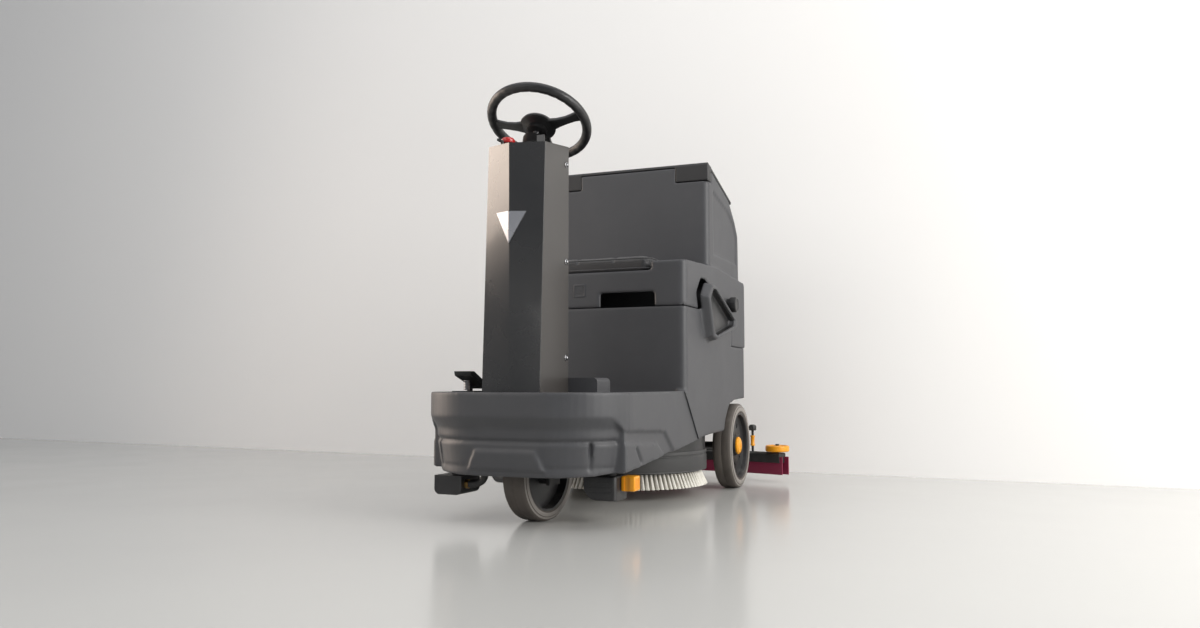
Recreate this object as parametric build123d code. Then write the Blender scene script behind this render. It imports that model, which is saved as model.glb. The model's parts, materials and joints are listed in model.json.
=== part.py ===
from build123d import *
from math import atan2, cos, degrees, hypot, pi, radians, sin, tan
import os

os.makedirs("parts", exist_ok=True)

# Ride-on floor scrubber, in millimetres, +Z up. The front faces -Y and the machine's left side is +X.
# Lengths along Y are measured from the front wheel's axle and shifted to the box's middle on export.

# ---------------------------------------------------------------- driving dimensions
WHEELBASE = 1000.0
FRONT_WHEEL_D = 250.0
FRONT_WHEEL_W = 74.0
REAR_WHEEL_D = 300.0
REAR_WHEEL_W = 68.0

BODY_HALF_W = 306.0
NOSE_TAPER = 20.0
NOSE_HALF_W = BODY_HALF_W - NOSE_TAPER
TYRE_PROUD = 15.0
REAR_TRACK_OUTER = 2 * (BODY_HALF_W + TYRE_PROUD)
NOSE_Y = -222.0
NOSE_RADIUS = 190.0
TAIL_OVERHANG = 180.0
TAIL_Y = WHEELBASE + TAIL_OVERHANG
TAIL_RADIUS = 70.0
SKIRT_BOTTOM_Z = 130.0
SKIRT_REAR_Z = 205.0
DECK_RIM_Z = 350.0
DECK_FLOOR_Z = 322.0
TANK_FRONT_Y = 384.0
SEAM_Z = 611.0
SHELL = 6.0

SEAT_Z = 752.0
SEAT_HALF_W = 194.0
SEAT_CROWN = 22.0
BACKREST_Y = 694.0
BACKREST_HALF_W = 292.0
TANK_TOP_Z = 1112.0
TANK_TOP_REAR_Z = 1030.0
TANK_TOP_REAR_Y = 1010.0
LID_THICK = 12.0
LID_EAR_INNER_X = 176.0
LID_EAR_DROP = 52.0

COLUMN_HALF_W = 84.0
COLUMN_REAR_Y = 8.0
COLUMN_FRONT_BOTTOM_Y = -172.0
COLUMN_FRONT_TOP_Y = -144.0
COLUMN_RIDGE_TOP = 44.0
COLUMN_TOP_FRONT_Z = 1004.0
COLUMN_TOP_REAR_Z = 1034.0
COLUMN_SHEET = 3.0

STEERING_WHEEL_D = 300.0
STEERING_RIM_D = 27.0
STEERING_TILT = 29.0
STEERING_CENTRE_Y = -8.0
STEERING_CENTRE_Z = 1104.0

BRUSH_D = 540.0
BRUSH_Y = 690.0
BRUSH_LIFT = 38.0
BRISTLE_H = 46.0
SHROUD_D = 540.0

SQUEEGEE_HALF_W = 440.0
SQUEEGEE_OVERHANG = 238.0
SQUEEGEE_END_Y = WHEELBASE + SQUEEGEE_OVERHANG
SQUEEGEE_SAGITTA = 84.0
SQUEEGEE_LIFT = 28.0
BLADE_T = 4.0

STEER_REST = -8.0
STEER_RATIO = 3

# ---------------------------------------------------------------- clearances
GAP = 0.3
RUN = 0.05
WHEEL_GAP = 3.0

# ---------------------------------------------------------------- derived places
SQUEEGEE_MID_Y = SQUEEGEE_END_Y + SQUEEGEE_SAGITTA
SPIGOT_R = 30.0
SPIGOT_Y = SQUEEGEE_MID_Y - 7
REAR_MOST_Y = SPIGOT_Y + SPIGOT_R
MID_Y = (NOSE_Y + REAR_MOST_Y) / 2
FRONT_R = FRONT_WHEEL_D / 2
REAR_R = REAR_WHEEL_D / 2
REAR_X = REAR_TRACK_OUTER / 2 - REAR_WHEEL_W / 2


def write(shape, name):
    """Move a finished node to the shared frame and export it."""
    export_step(Pos(0, -MID_Y, 0) * shape, f"parts/{name}.step")


def block(x, y, z):
    """A box from three (low, high) pairs."""
    size = (x[1] - x[0], y[1] - y[0], z[1] - z[0])
    return Pos((x[0] + x[1]) / 2, (y[0] + y[1]) / 2, (z[0] + z[1]) / 2) * Box(*size)


def rod(radius, start, end):
    """A round bar between two points."""
    axis = Vector(*end) - Vector(*start)
    return Plane(origin=start, z_dir=axis) * extrude(Circle(radius), axis.length)


def tube(radius, bore, start, end):
    """A round pipe between two points."""
    return rod(radius, start, end) - rod(bore, start, end)


def slab(points, z0, z1):
    """A vertical prism on a plan outline of (x, y) points."""
    return extrude(Pos(0, 0, z0) * make_face(Polyline(*points, close=True)), z1 - z0)


def side_prism(points, x0, x1):
    """A prism along X on a side outline of (y, z) points."""
    plane = Plane(origin=(x0, 0, 0), x_dir=(0, 1, 0), z_dir=(1, 0, 0))
    return extrude(plane * make_face(Polyline(*points, close=True)), x1 - x0)


def wheel_disc(profile, centre):
    """A round piece on a cross axle, from (x offset, radius) points, turned about X."""
    face = make_face(Polyline(*[(x, r) for x, r in profile], close=True))
    return Pos(*centre) * revolve(face, Axis.X)


def turned(profile, centre):
    """A round piece on a vertical axis, from (radius, z) points."""
    face = Plane.XZ * make_face(Polyline(*profile, close=True))
    return Pos(*centre) * revolve(face, Axis.Z)


# ---------------------------------------------------------------- lower body
def body_plan(inset, y_back=TAIL_Y):
    """Plan outline of the lower body: round nose, sides widening to the tank, round tail."""
    nose = NOSE_HALF_W - inset
    full = BODY_HALF_W - inset
    back = y_back - inset
    front = NOSE_Y + inset
    outline = Polyline((-nose, front), (nose, front), (full, TANK_FRONT_Y), (full, back),
                       (-full, back), (-full, TANK_FRONT_Y), close=True)
    face = make_face(outline)
    nose_corners = face.vertices().sort_by(Axis.Y)[:2]
    face = fillet(nose_corners, NOSE_RADIUS - inset)
    tail_corners = face.vertices().sort_by(Axis.Y)[-2:]
    return fillet(tail_corners, TAIL_RADIUS - inset)


def body_prism(inset, z0, z1, y_back=TAIL_Y):
    return extrude(Pos(0, 0, z0) * body_plan(inset, y_back), z1 - z0)


NOSE_STEP = 22.0
NOSE_STEP_Z = 262.0
NOSE_STEP_END_Y = -105.0
ARCH_GAP = 14.0
FUNNEL_Y = 700.0
FUNNEL_OUT = 34.0
BAY_X = 206.0
BAY_Y = (402.0, 930.0)
REAR_STEP_Y = 938.0
REAR_STEP_Z = 506.0
BASE_Z = DECK_FLOOR_Z + SHELL


def skirt_cutter():
    """The wedge below the body's rising lower edge, with the rear wheel arches."""
    edge = [(NOSE_Y - 20, -10), (NOSE_Y - 20, SKIRT_BOTTOM_Z), (-130, SKIRT_BOTTOM_Z + 8),
            (600, SKIRT_REAR_Z), (WHEELBASE - 170, SKIRT_REAR_Z + 5), (WHEELBASE - 150, 250),
            (WHEELBASE - 95, 300), (WHEELBASE, REAR_WHEEL_D + ARCH_GAP),
            (TAIL_Y + 20, REAR_WHEEL_D + ARCH_GAP + 6), (TAIL_Y + 20, -10)]
    return side_prism(edge, -BODY_HALF_W - 40, BODY_HALF_W + 40)


def fill_funnel(grow):
    """The filling funnel that stands proud of the tank's left side."""
    x0 = BODY_HALF_W - 60
    outer = BODY_HALF_W + FUNNEL_OUT + grow
    pts = [(x0, FUNNEL_Y - 130 - grow), (BODY_HALF_W, FUNNEL_Y - 130 - grow),
           (outer, FUNNEL_Y - 40), (outer, FUNNEL_Y + 60),
           (BODY_HALF_W, FUNNEL_Y + 150 + grow), (x0, FUNNEL_Y + 150 + grow)]
    return pts


def solution_tank():
    outer = body_prism(0, SKIRT_BOTTOM_Z, SEAM_Z - GAP)
    above_deck = block((-400, 400), (NOSE_Y - 20, TANK_FRONT_Y), (DECK_RIM_Z, SEAM_Z + 10))
    outer -= above_deck
    nose_zone = block((-400, 400), (NOSE_Y - 20, NOSE_STEP_END_Y), (SKIRT_BOTTOM_Z - 5, NOSE_STEP_Z))
    outer -= nose_zone - body_prism(NOSE_STEP, SKIRT_BOTTOM_Z - 10, NOSE_STEP_Z + 10)
    rear_zone = block((-400, 400), (REAR_STEP_Y, TAIL_Y + 20), (REAR_STEP_Z - GAP, SEAM_Z + 10))
    outer -= rear_zone
    under = body_prism(SHELL, SKIRT_BOTTOM_Z - 10, DECK_FLOOR_Z)
    nose_room = block((-400, 400), (NOSE_Y - 20, NOSE_STEP_END_Y + SHELL), (0, DECK_FLOOR_Z))
    outer -= under - nose_room
    outer -= body_prism(NOSE_STEP + SHELL, SKIRT_BOTTOM_Z - 10, DECK_FLOOR_Z)
    outer -= rod(32, (0, 0, DECK_FLOOR_Z - 5), (0, 0, BASE_Z + 5))
    outer -= skirt_cutter()
    well = body_prism(NOSE_STEP + SHELL, DECK_FLOOR_Z + SHELL, DECK_RIM_Z + 10)
    outer -= well - block((-400, 400), (TANK_FRONT_Y, TAIL_Y + 20), (0, 900))
    bay = block((-BAY_X, BAY_X), BAY_Y, (DECK_FLOOR_Z + SHELL, SEAM_Z + 10))
    outer -= bay
    for side in (-1, 1):
        arch = rod(REAR_R + ARCH_GAP, (side * 225, WHEELBASE, REAR_R), (side * 420, WHEELBASE, REAR_R))
        outer -= arch
    funnel = slab(fill_funnel(0), 520, 640)
    funnel -= block((0, BODY_HALF_W - 24), (0, 1200), (SEAM_Z - 1, 700))
    outer += funnel
    mouth = slab(fill_funnel(-8), 560, 700)
    mouth &= block((BODY_HALF_W - 16, 400), (0, 1200), (560, 700))
    outer -= mouth
    left = block((BAY_X + 12, BODY_HALF_W - 16 - SHELL), (TANK_FRONT_Y + 22, 926), (BASE_Z + SHELL, 596))
    right = block((-BODY_HALF_W + SHELL, -BAY_X - 12), (TANK_FRONT_Y + 22, 926), (BASE_Z + SHELL, 596))
    outer -= left
    outer -= right
    outer -= block((BODY_HALF_W - 30, BODY_HALF_W - 8), (FUNNEL_Y - 60, FUNNEL_Y + 60), (566, 590))
    for side in (-1, 1):
        x = sorted((side * (BAY_X + 14), side * 262))
        outer -= block(x, (920, 950), (BASE_Z + SHELL, REAR_STEP_Z - 10))
    outer -= block((-262, 262), (BAY_Y[1] + 10, TAIL_Y - 30), (BASE_Z + SHELL, REAR_STEP_Z - 10))
    return outer


write(solution_tank(), "solution_tank")

MAT_T = 4.0
MAT_FRONT_Y = 138.0


def floor_mat():
    inset = NOSE_STEP + SHELL + 2
    mat = body_prism(inset, BASE_Z + GAP, BASE_Z + GAP + MAT_T)
    mat &= block((-400, 400), (MAT_FRONT_Y, TANK_FRONT_Y - 3), (0, 900))
    ribs = int((NOSE_HALF_W - 46) / 20)
    for i in range(-ribs, ribs + 1):
        mat += block((i * 20 - 3, i * 20 + 3), (MAT_FRONT_Y + 10, TANK_FRONT_Y - 13),
                     (BASE_Z + MAT_T, BASE_Z + MAT_T + 2.5))
    return mat


write(floor_mat(), "floor_mat")

# ---------------------------------------------------------------- chassis frame
GUIDE_R = 8.0
GUIDE_YS = (BRUSH_Y - 118, BRUSH_Y + 118)
ARM_Y = WHEELBASE + 92
ARM_ZS = (168.0, 214.0)
ARM_SPAN = (150.0, -20.0)
PIN_R = 6.0
RAIL_X = NOSE_HALF_W - 136
RAIL_W = 30.0
RAIL_Z = (286.0, DECK_FLOOR_Z - GAP)
STEM_R = 14.0
STEM_BORE = STEM_R + RUN
AXLE_R = 12.0


def chassis_frame():
    frame = None
    for side in (-1, 1):
        x0 = side * RAIL_X - RAIL_W / 2
        rail = block((x0, x0 + RAIL_W), (-170, WHEELBASE + 130), RAIL_Z)
        frame = rail if frame is None else frame + rail
    for y in (-160, 160, 400, *GUIDE_YS, WHEELBASE + 100):
        frame += block((-RAIL_X, RAIL_X), (y - 14, y + 14), RAIL_Z)
    for y in GUIDE_YS:
        frame += rod(16, (0, y, 240), (0, y, RAIL_Z[1]))
        frame -= rod(GUIDE_R + RUN, (0, y, 230), (0, y, RAIL_Z[1] + 1))
    frame += block((-RAIL_X, RAIL_X), (-50, 50), (296, RAIL_Z[1]))
    for side in (-1, 1):
        x = side * (REAR_X - REAR_WHEEL_W / 2 - 14)
        frame += block((x - 5, x + 5), (WHEELBASE - 30, WHEELBASE + 30), (REAR_R - 22, RAIL_Z[1]))
        frame += block((min(x, side * RAIL_X), max(x, side * RAIL_X)),
                       (WHEELBASE - 30, WHEELBASE + 30), (RAIL_Z[0] + 20, RAIL_Z[1]))
    for side in (-1, 1):
        frame += block((side * 46 - 5, side * 46 + 5),
                       (WHEELBASE + 70, WHEELBASE + 114), (ARM_ZS[0] - 14, RAIL_Z[0] + 4))
    frame -= rod(STEM_BORE + 12, (0, 0, 280), (0, 0, 340))
    axle_end = REAR_TRACK_OUTER / 2 - 20
    frame += rod(AXLE_R, (-axle_end, WHEELBASE, REAR_R), (axle_end, WHEELBASE, REAR_R))
    for z in ARM_ZS:
        frame += rod(PIN_R, (-51, ARM_Y, z), (51, ARM_Y, z))
    return frame


write(chassis_frame(), "chassis_frame")

bearing = tube(STEM_BORE + 12 - 0.02, STEM_BORE, (0, 0, 300), (0, 0, DECK_FLOOR_Z - GAP))
write(bearing, "steering_bearing")

# ---------------------------------------------------------------- rear wheels
RIM_R = REAR_R - 33.0
HUB_R = 34.0


def rear_wheel(side, word):
    outer = side * REAR_TRACK_OUTER / 2
    inner = outer - side * REAR_WHEEL_W
    centre = (0, WHEELBASE, REAR_R)
    tyre = [(outer, RIM_R), (outer, REAR_R - 5), (outer - side * 5, REAR_R),
            (inner + side * 5, REAR_R), (inner, REAR_R - 5), (inner, RIM_R)]
    write(wheel_disc(tyre, centre), f"rear_tyre_{word}")
    dish = outer - side * 22
    bore = AXLE_R + RUN
    rim = [(outer - side * 2, RIM_R - 0.02), (outer - side * 2, RIM_R - 8), (dish, RIM_R - 12),
           (dish, HUB_R), (outer - side * 14, HUB_R), (outer - side * 14, bore),
           (inner + side * 4, bore), (inner + side * 4, HUB_R), (inner + side * 26, HUB_R),
           (inner + side * 26, RIM_R - 12), (inner + side * 2, RIM_R - 8),
           (inner + side * 2, RIM_R - 0.02)]
    write(wheel_disc(rim, centre), f"rear_rim_{word}")
    cap_in = outer - side * 13.8
    cap = [(cap_in, 0), (cap_in, 31), (outer - side * 4, 31), (outer + side * 0.0, 24), (outer, 0)]
    write(wheel_disc(cap, centre), f"rear_hub_cap_{word}")


rear_wheel(1, "left")
rear_wheel(-1, "right")

# ---------------------------------------------------------------- front wheel and steering fork
FORK_IN = FRONT_WHEEL_W / 2 + 5
FORK_OUT = FORK_IN + 10
CROWN_Z = (FRONT_WHEEL_D + 14, FRONT_WHEEL_D + 26)
BIG_SPROCKET_R = 60.7
SMALL_SPROCKET_R = 20.2
SPROCKET_Y = -104.0
CHAIN_Z = (357.0, 363.0)


def steered(shape):
    """Turn a piece of the steered group to where it stands at rest."""
    return Rot(0, 0, STEER_REST) * shape


def front_wheel():
    centre = (0, 0, FRONT_R)
    half = FRONT_WHEEL_W / 2
    tyre = [(-half, FRONT_R - 25), (-half, FRONT_R - 5), (-half + 5, FRONT_R),
            (half - 5, FRONT_R), (half, FRONT_R - 5), (half, FRONT_R - 25)]
    write(steered(wheel_disc(tyre, centre)), "front_tyre")
    rim = [(-half + 2, FRONT_R - 25.02), (-half + 2, FRONT_R - 33), (-12, FRONT_R - 37), (-12, 26),
           (-half, 26), (-half, 10 + RUN), (half, 10 + RUN), (half, 26), (12, 26),
           (12, FRONT_R - 37), (half - 2, FRONT_R - 33), (half - 2, FRONT_R - 25.02)]
    write(steered(wheel_disc(rim, centre)), "front_rim")


def steering_fork():
    fork = block((-FORK_OUT, FORK_OUT), (-32, 32), CROWN_Z)
    for side in (-1, 1):
        x = sorted((side * FORK_IN, side * FORK_OUT))
        fork += block(x, (-26, 26), (FRONT_R - 26, CROWN_Z[1]))
        fork += rod(14, (side * (FRONT_WHEEL_W / 2 + GAP), 0, FRONT_R), (side * FORK_OUT, 0, FRONT_R))
    fork += rod(10, (-FORK_OUT - 6, 0, FRONT_R), (FORK_OUT + 6, 0, FRONT_R))
    fork += rod(STEM_R, (0, 0, CROWN_Z[0]), (0, 0, CHAIN_Z[0] - 3))
    return fork


front_wheel()
write(steered(steering_fork()), "steering_fork")

motor = rod(44, (-FORK_OUT - GAP, 0, FRONT_R + 14), (-132, 0, FRONT_R + 14))
motor -= rod(10.5, (-FORK_OUT - 10, 0, FRONT_R), (-FORK_OUT, 0, FRONT_R))
write(steered(motor), "drive_motor")


def sprocket(radius, teeth, centre, bore, z0, z1):
    """A roller chain sprocket with plain tapered teeth."""
    step = 2 * pi / teeth
    points = []
    for i in range(teeth):
        for offset, r in ((-0.32, radius - 3.6), (-0.12, radius + 2.0), (0.12, radius + 2.0),
                          (0.32, radius - 3.6)):
            a = (i + offset) * step
            points.append((r * cos(a), r * sin(a)))
    plate = slab(points, z0, z1)
    if bore:
        plate -= rod(bore, (0, 0, z0 - 1), (0, 0, z1 + 1))
    return Pos(centre[0], centre[1], 0) * plate


big = sprocket(BIG_SPROCKET_R, 30, (0, 0), 0, CHAIN_Z[0] + 1.5, CHAIN_Z[1] - 1.5)
big += rod(22, (0, 0, CHAIN_Z[0] - 3 + GAP), (0, 0, CHAIN_Z[0] + 2))
write(big, "large_sprocket")

SHAFT_R = 9.0


def belt_loop(r_small, r_big, distance):
    """Outline face of an open loop round the two sprockets."""
    lean = atan2(r_big - r_small, distance)
    c, s = cos(lean), sin(lean)
    a = (r_big * c, -r_big * s)
    b = (r_small * c, -distance - r_small * s)
    a2 = (-a[0], a[1])
    b2 = (-b[0], b[1])
    edges = [Line(a, b), ThreePointArc(b, (0, -distance - r_small), b2), Line(b2, a2),
             ThreePointArc(a2, (0, r_big), a)]
    return make_face(edges)


chain_out = belt_loop(SMALL_SPROCKET_R + 6.5, BIG_SPROCKET_R + 6.5, -SPROCKET_Y)
chain_in = belt_loop(SMALL_SPROCKET_R + 2.6, BIG_SPROCKET_R + 2.6, -SPROCKET_Y)
chain = extrude(Pos(0, 0, CHAIN_Z[0]) * (chain_out - chain_in), CHAIN_Z[1] - CHAIN_Z[0])
write(chain, "steering_chain")

# ---------------------------------------------------------------- column
PLINTH_X = 170.0
PLINTH_Y = (COLUMN_REAR_Y + GAP, 130.0)
PLINTH_Z = 388.0
COLUMN_BOTTOM_Z = BASE_Z + GAP
CHAIN_ROOM_X = 74.0


def column_section(z, inset):
    """Plan section of the column at one height: flat sides, flat back and a centre ridge."""
    t = (z - COLUMN_BOTTOM_Z) / (COLUMN_TOP_FRONT_Z - COLUMN_BOTTOM_Z)
    edge_y = COLUMN_FRONT_BOTTOM_Y + (COLUMN_FRONT_TOP_Y - COLUMN_FRONT_BOTTOM_Y) * t + inset
    ridge_y = edge_y - 4 - (COLUMN_RIDGE_TOP - 4) * t
    w = COLUMN_HALF_W - inset
    back = COLUMN_REAR_Y - inset
    return [(-w, back), (w, back), (w, edge_y), (0, ridge_y), (-w, edge_y)]


def column_prism(inset):
    low, high = COLUMN_BOTTOM_Z, COLUMN_TOP_REAR_Z + 20
    faces = [Pos(0, 0, z) * make_face(Polyline(*column_section(z, inset), close=True)) for z in (low, high)]
    return loft(faces, ruled=True)


def column_top_cut():
    """Everything above the column's sloping top edge."""
    return side_prism([(-260, COLUMN_TOP_FRONT_Z - 12), (-190, COLUMN_TOP_FRONT_Z),
                       (COLUMN_REAR_Y + 30, COLUMN_TOP_REAR_Z), (COLUMN_REAR_Y + 30, 1200),
                       (-260, 1200)], -200, 200)


shell = column_prism(0) - column_prism(COLUMN_SHEET) - column_top_cut()
bottom_y = COLUMN_FRONT_BOTTOM_Y + COLUMN_SHEET
t_high = (1100 - COLUMN_BOTTOM_Z) / (COLUMN_TOP_FRONT_Z - COLUMN_BOTTOM_Z)
top_y = bottom_y + (COLUMN_FRONT_TOP_Y - COLUMN_FRONT_BOTTOM_Y) * t_high
front_zone = side_prism([(bottom_y, COLUMN_BOTTOM_Z - 10), (top_y, 1100), (-400, 1100),
                         (-400, COLUMN_BOTTOM_Z - 10)], -200, 200)
write(shell & front_zone, "column_front_cover")

side_cover = shell - (Pos(0, GAP, 0) * front_zone)
side_cover -= block((-CHAIN_ROOM_X, CHAIN_ROOM_X), (-10, 20), (0, CHAIN_Z[1] + 12))
write(side_cover, "column_side_cover")

plinth = block((-PLINTH_X, PLINTH_X), PLINTH_Y, (BASE_Z + GAP, PLINTH_Z))
plinth = fillet(plinth.edges().filter_by(Axis.Z).sort_by(Axis.Y)[-2:], 34)
plinth = fillet(plinth.faces().sort_by(Axis.Z)[-1].edges().sort_by(Axis.Y)[-3:], 12)
plinth -= block((-PLINTH_X + 8, PLINTH_X - 8), (PLINTH_Y[0] + 5, PLINTH_Y[1] - 14), (0, PLINTH_Z - 6))
plinth -= block((-CHAIN_ROOM_X, CHAIN_ROOM_X), (-10, PLINTH_Y[0] + 6), (0, CHAIN_Z[1] + 12))
write(plinth, "column_base_cover")

# The dashboard closes the column's top.
dash_plate = column_prism(COLUMN_SHEET + GAP)
low_cut = side_prism([(-260, COLUMN_TOP_FRONT_Z - 32), (-190, COLUMN_TOP_FRONT_Z - 20),
                      (COLUMN_REAR_Y + 30, COLUMN_TOP_REAR_Z - 20), (COLUMN_REAR_Y + 30, 300),
                      (-260, 300)], -200, 200)
dash_plate -= column_top_cut() + low_cut
TILT = radians(STEERING_TILT)
TILT_AXIS = (0.0, sin(TILT), cos(TILT))


def on_axis(distance):
    """A point on the steering wheel's axis, measured down from the wheel's centre."""
    return (0.0, STEERING_CENTRE_Y - TILT_AXIS[1] * distance, STEERING_CENTRE_Z - TILT_AXIS[2] * distance)


STUB_R = 9.0
COLLAR_R = 26.0
dash = dash_plate + rod(COLLAR_R, on_axis(96), on_axis(62))
dash -= rod(STUB_R + RUN, on_axis(160), on_axis(20))
KEY_AT = (48.0, -96.0)
STOP_AT = (-50.0, -100.0)
LEVER_AT = (-46.0, -140.0)
slope = (COLUMN_TOP_REAR_Z - COLUMN_TOP_FRONT_Z) / (COLUMN_REAR_Y + 30 + 190)


def dash_z(y):
    return COLUMN_TOP_FRONT_Z + (y + 190) * slope


KEY_R = 5.0
STOP_R = 8.0
LEVER_R = 4.0
dash -= rod(KEY_R + RUN, (*KEY_AT, 960), (*KEY_AT, 1060))
dash -= rod(STOP_R + RUN, (*STOP_AT, 960), (*STOP_AT, 1060))
dash -= rod(LEVER_R + RUN, (*LEVER_AT, 960), (*LEVER_AT, 1060))
write(dash, "dashboard")

key_z = dash_z(KEY_AT[1])
key = rod(KEY_R, (*KEY_AT, key_z - 24), (*KEY_AT, key_z + 6))
key += block((KEY_AT[0] - 11, KEY_AT[0] + 11), (KEY_AT[1] - 2, KEY_AT[1] + 2), (key_z + 4, key_z + 26))
write(key, "ignition_key")

stop_z = dash_z(STOP_AT[1])
stop = rod(STOP_R, (*STOP_AT, stop_z - 24), (*STOP_AT, stop_z + 12))
stop += turned([(0, 12), (19, 12), (20, 16), (20, 20), (15, 26), (0, 27)], (*STOP_AT, stop_z))
write(stop, "emergency_stop")

lever_z = dash_z(LEVER_AT[1])
lever = rod(LEVER_R, (*LEVER_AT, lever_z - 24), (*LEVER_AT, lever_z + 12))
lever += block((LEVER_AT[0] - 3, LEVER_AT[0] + 3), (LEVER_AT[1] - 24, LEVER_AT[1] + 4),
               (lever_z + 9, lever_z + 15))
write(lever, "direction_lever")

BOLT_ZS = (442.0, 706.0, 976.0)
BOLT_Y = -8.0
bolts = None
for side in (-1, 1):
    for z in BOLT_ZS:
        head = rod(9, (side * COLUMN_HALF_W, BOLT_Y, z), (side * (COLUMN_HALF_W + 2), BOLT_Y, z))
        head += rod(5.5, (side * COLUMN_HALF_W, BOLT_Y, z), (side * (COLUMN_HALF_W + 7), BOLT_Y, z))
        bolts = head if bolts is None else bolts + head
write(bolts, "column_bolts")

BADGE_Z = 786.0
badge_t = (BADGE_Z - COLUMN_BOTTOM_Z) / (COLUMN_TOP_FRONT_Z - COLUMN_BOTTOM_Z)
badge_y = COLUMN_FRONT_BOTTOM_Y + (COLUMN_FRONT_TOP_Y - COLUMN_FRONT_BOTTOM_Y) * badge_t
badge_ridge = 4 + (COLUMN_RIDGE_TOP - 4) * badge_t
badge_outline = Plane.XZ * make_face(Polyline((-44, BADGE_Z + 36), (44, BADGE_Z + 36), (0, BADGE_Z - 48), close=True))
badge = Pos(0, -260, 0) * extrude(badge_outline, -200)
badge &= column_prism(-4.0)
badge -= column_prism(-GAP)
write(badge, "column_badge")

# ---------------------------------------------------------------- steering wheel and shafts
STEER_R = (STEERING_WHEEL_D - STEERING_RIM_D) / 2
wheel_plane = Plane(origin=on_axis(0), x_dir=(1, 0, 0), z_dir=TILT_AXIS)
rim = wheel_plane * Torus(STEER_R, STEERING_RIM_D / 2)
hub = wheel_plane * (Pos(0, 0, -26) * Cylinder(34, 26))
steering = rim + hub
SPOKE_R = 9.0
for angle in (0, 90, 180):
    turn = radians(angle + STEER_REST * STEER_RATIO)
    rim_point = (STEER_R * cos(turn), STEER_R * sin(turn), 0)
    steering += wheel_plane * rod(SPOKE_R, (0, 0, -25), rim_point)
write(steering, "steering_wheel")

JOINT_DROP = (STEERING_CENTRE_Y - SPROCKET_Y) / sin(TILT)
JOINT = on_axis(JOINT_DROP)
JOINT_R = 12.0
stub = rod(STUB_R, on_axis(39 + GAP), on_axis(JOINT_DROP - JOINT_R - 4))
stub += rod(JOINT_R, on_axis(JOINT_DROP - JOINT_R - 14), on_axis(JOINT_DROP - JOINT_R + 3))
stub -= Pos(*JOINT) * Sphere(JOINT_R + RUN)
write(stub, "steering_stub_shaft")


POST_PLATE_Z = BASE_Z + 9
shaft = rod(SHAFT_R, (0, SPROCKET_Y, POST_PLATE_Z + GAP), (0, SPROCKET_Y, JOINT[2]))
shaft += Pos(*JOINT) * Sphere(JOINT_R)
shaft += sprocket(SMALL_SPROCKET_R, 10, (0, SPROCKET_Y), 0, CHAIN_Z[0] + 1.5, CHAIN_Z[1] - 1.5)
write(shaft, "steering_shaft")

# ---------------------------------------------------------------- inside the column
POST_X = 66.0


def column_post():
    y = (SPROCKET_Y - 10, SPROCKET_Y + 10)
    top = COLUMN_TOP_FRONT_Z - 24
    post = block((-POST_X - 12, POST_X + 12), (y[0] - 4, y[1] + 4), (BASE_Z + GAP, POST_PLATE_Z))
    for side in (-1, 1):
        post += block((side * POST_X - 8, side * POST_X + 8), y, (BASE_Z + GAP, top))
    for z in (430, 840):
        post += block((-POST_X, POST_X), (SPROCKET_Y - 16, SPROCKET_Y + 16), (z, z + 8))
        post -= rod(SHAFT_R + RUN, (0, SPROCKET_Y, z - 2), (0, SPROCKET_Y, z + 10))
    return post - dash_plate


write(column_post(), "column_post")

CONTROLLER_BACK = COLUMN_REAR_Y - COLUMN_SHEET - GAP
controller = block((-56, 56), (CONTROLLER_BACK - 42, CONTROLLER_BACK), (480, 660))
for y in range(8):
    fin_y = CONTROLLER_BACK - 46
    controller += block((-52 + y * 14, -48 + y * 14), (fin_y - 8, fin_y + 5), (490, 650))
write(controller, "motor_controller")

# ---------------------------------------------------------------- accelerator pedal
PEDAL_OUT = NOSE_HALF_W - 72
PEDAL_X = (-PEDAL_OUT, -PEDAL_OUT + 68)
PEDAL_PIVOT = (-16.0, 366.0)
PEDAL_FRONT = (-106.0, 398.0)
PEDAL_T = 8.0
PEDAL_PIN_R = 4.0
base_top = 352.0


def pedal_base():
    base = block(PEDAL_X, (PEDAL_FRONT[0], 6), (BASE_Z + GAP, base_top))
    for x in PEDAL_X:
        edge = sorted((x, x + 8 if x == PEDAL_X[0] else x - 8))
        base += block(edge, (PEDAL_PIVOT[0] - 9, PEDAL_PIVOT[0] + 9), (base_top - 2, PEDAL_PIVOT[1] + 9))
    base += rod(PEDAL_PIN_R, (PEDAL_X[0], *PEDAL_PIVOT), (PEDAL_X[1], *PEDAL_PIVOT))
    return base


write(pedal_base(), "pedal_base")
inner_x = (PEDAL_X[0] + 8 + GAP, PEDAL_X[1] - 8 - GAP)
pedal = side_prism([(PEDAL_PIVOT[0], PEDAL_PIVOT[1] - 4), (PEDAL_FRONT[0], PEDAL_FRONT[1] - 4),
                    (PEDAL_FRONT[0] - 4, PEDAL_FRONT[1] + 8), (PEDAL_FRONT[0] + 16, PEDAL_FRONT[1] + 8),
                    (PEDAL_PIVOT[0], PEDAL_PIVOT[1] + 6)], *inner_x)
pedal += rod(8, (inner_x[0], *PEDAL_PIVOT), (inner_x[1], *PEDAL_PIVOT))
pedal -= rod(PEDAL_PIN_R + RUN, (PEDAL_X[0], *PEDAL_PIVOT), (PEDAL_X[1], *PEDAL_PIVOT))
write(pedal, "accelerator_pedal")
SPRING_Y = -84.0
spring_share = (SPRING_Y + 9 - PEDAL_PIVOT[0]) / (PEDAL_FRONT[0] - PEDAL_PIVOT[0])
spring_top = PEDAL_PIVOT[1] - 4 + (PEDAL_FRONT[1] - PEDAL_PIVOT[1]) * spring_share
spring_x = (PEDAL_X[0] + PEDAL_X[1]) / 2
spring = tube(9, 6.5, (spring_x, SPRING_Y, base_top + GAP), (spring_x, SPRING_Y, spring_top - GAP))
write(spring, "pedal_spring")

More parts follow.
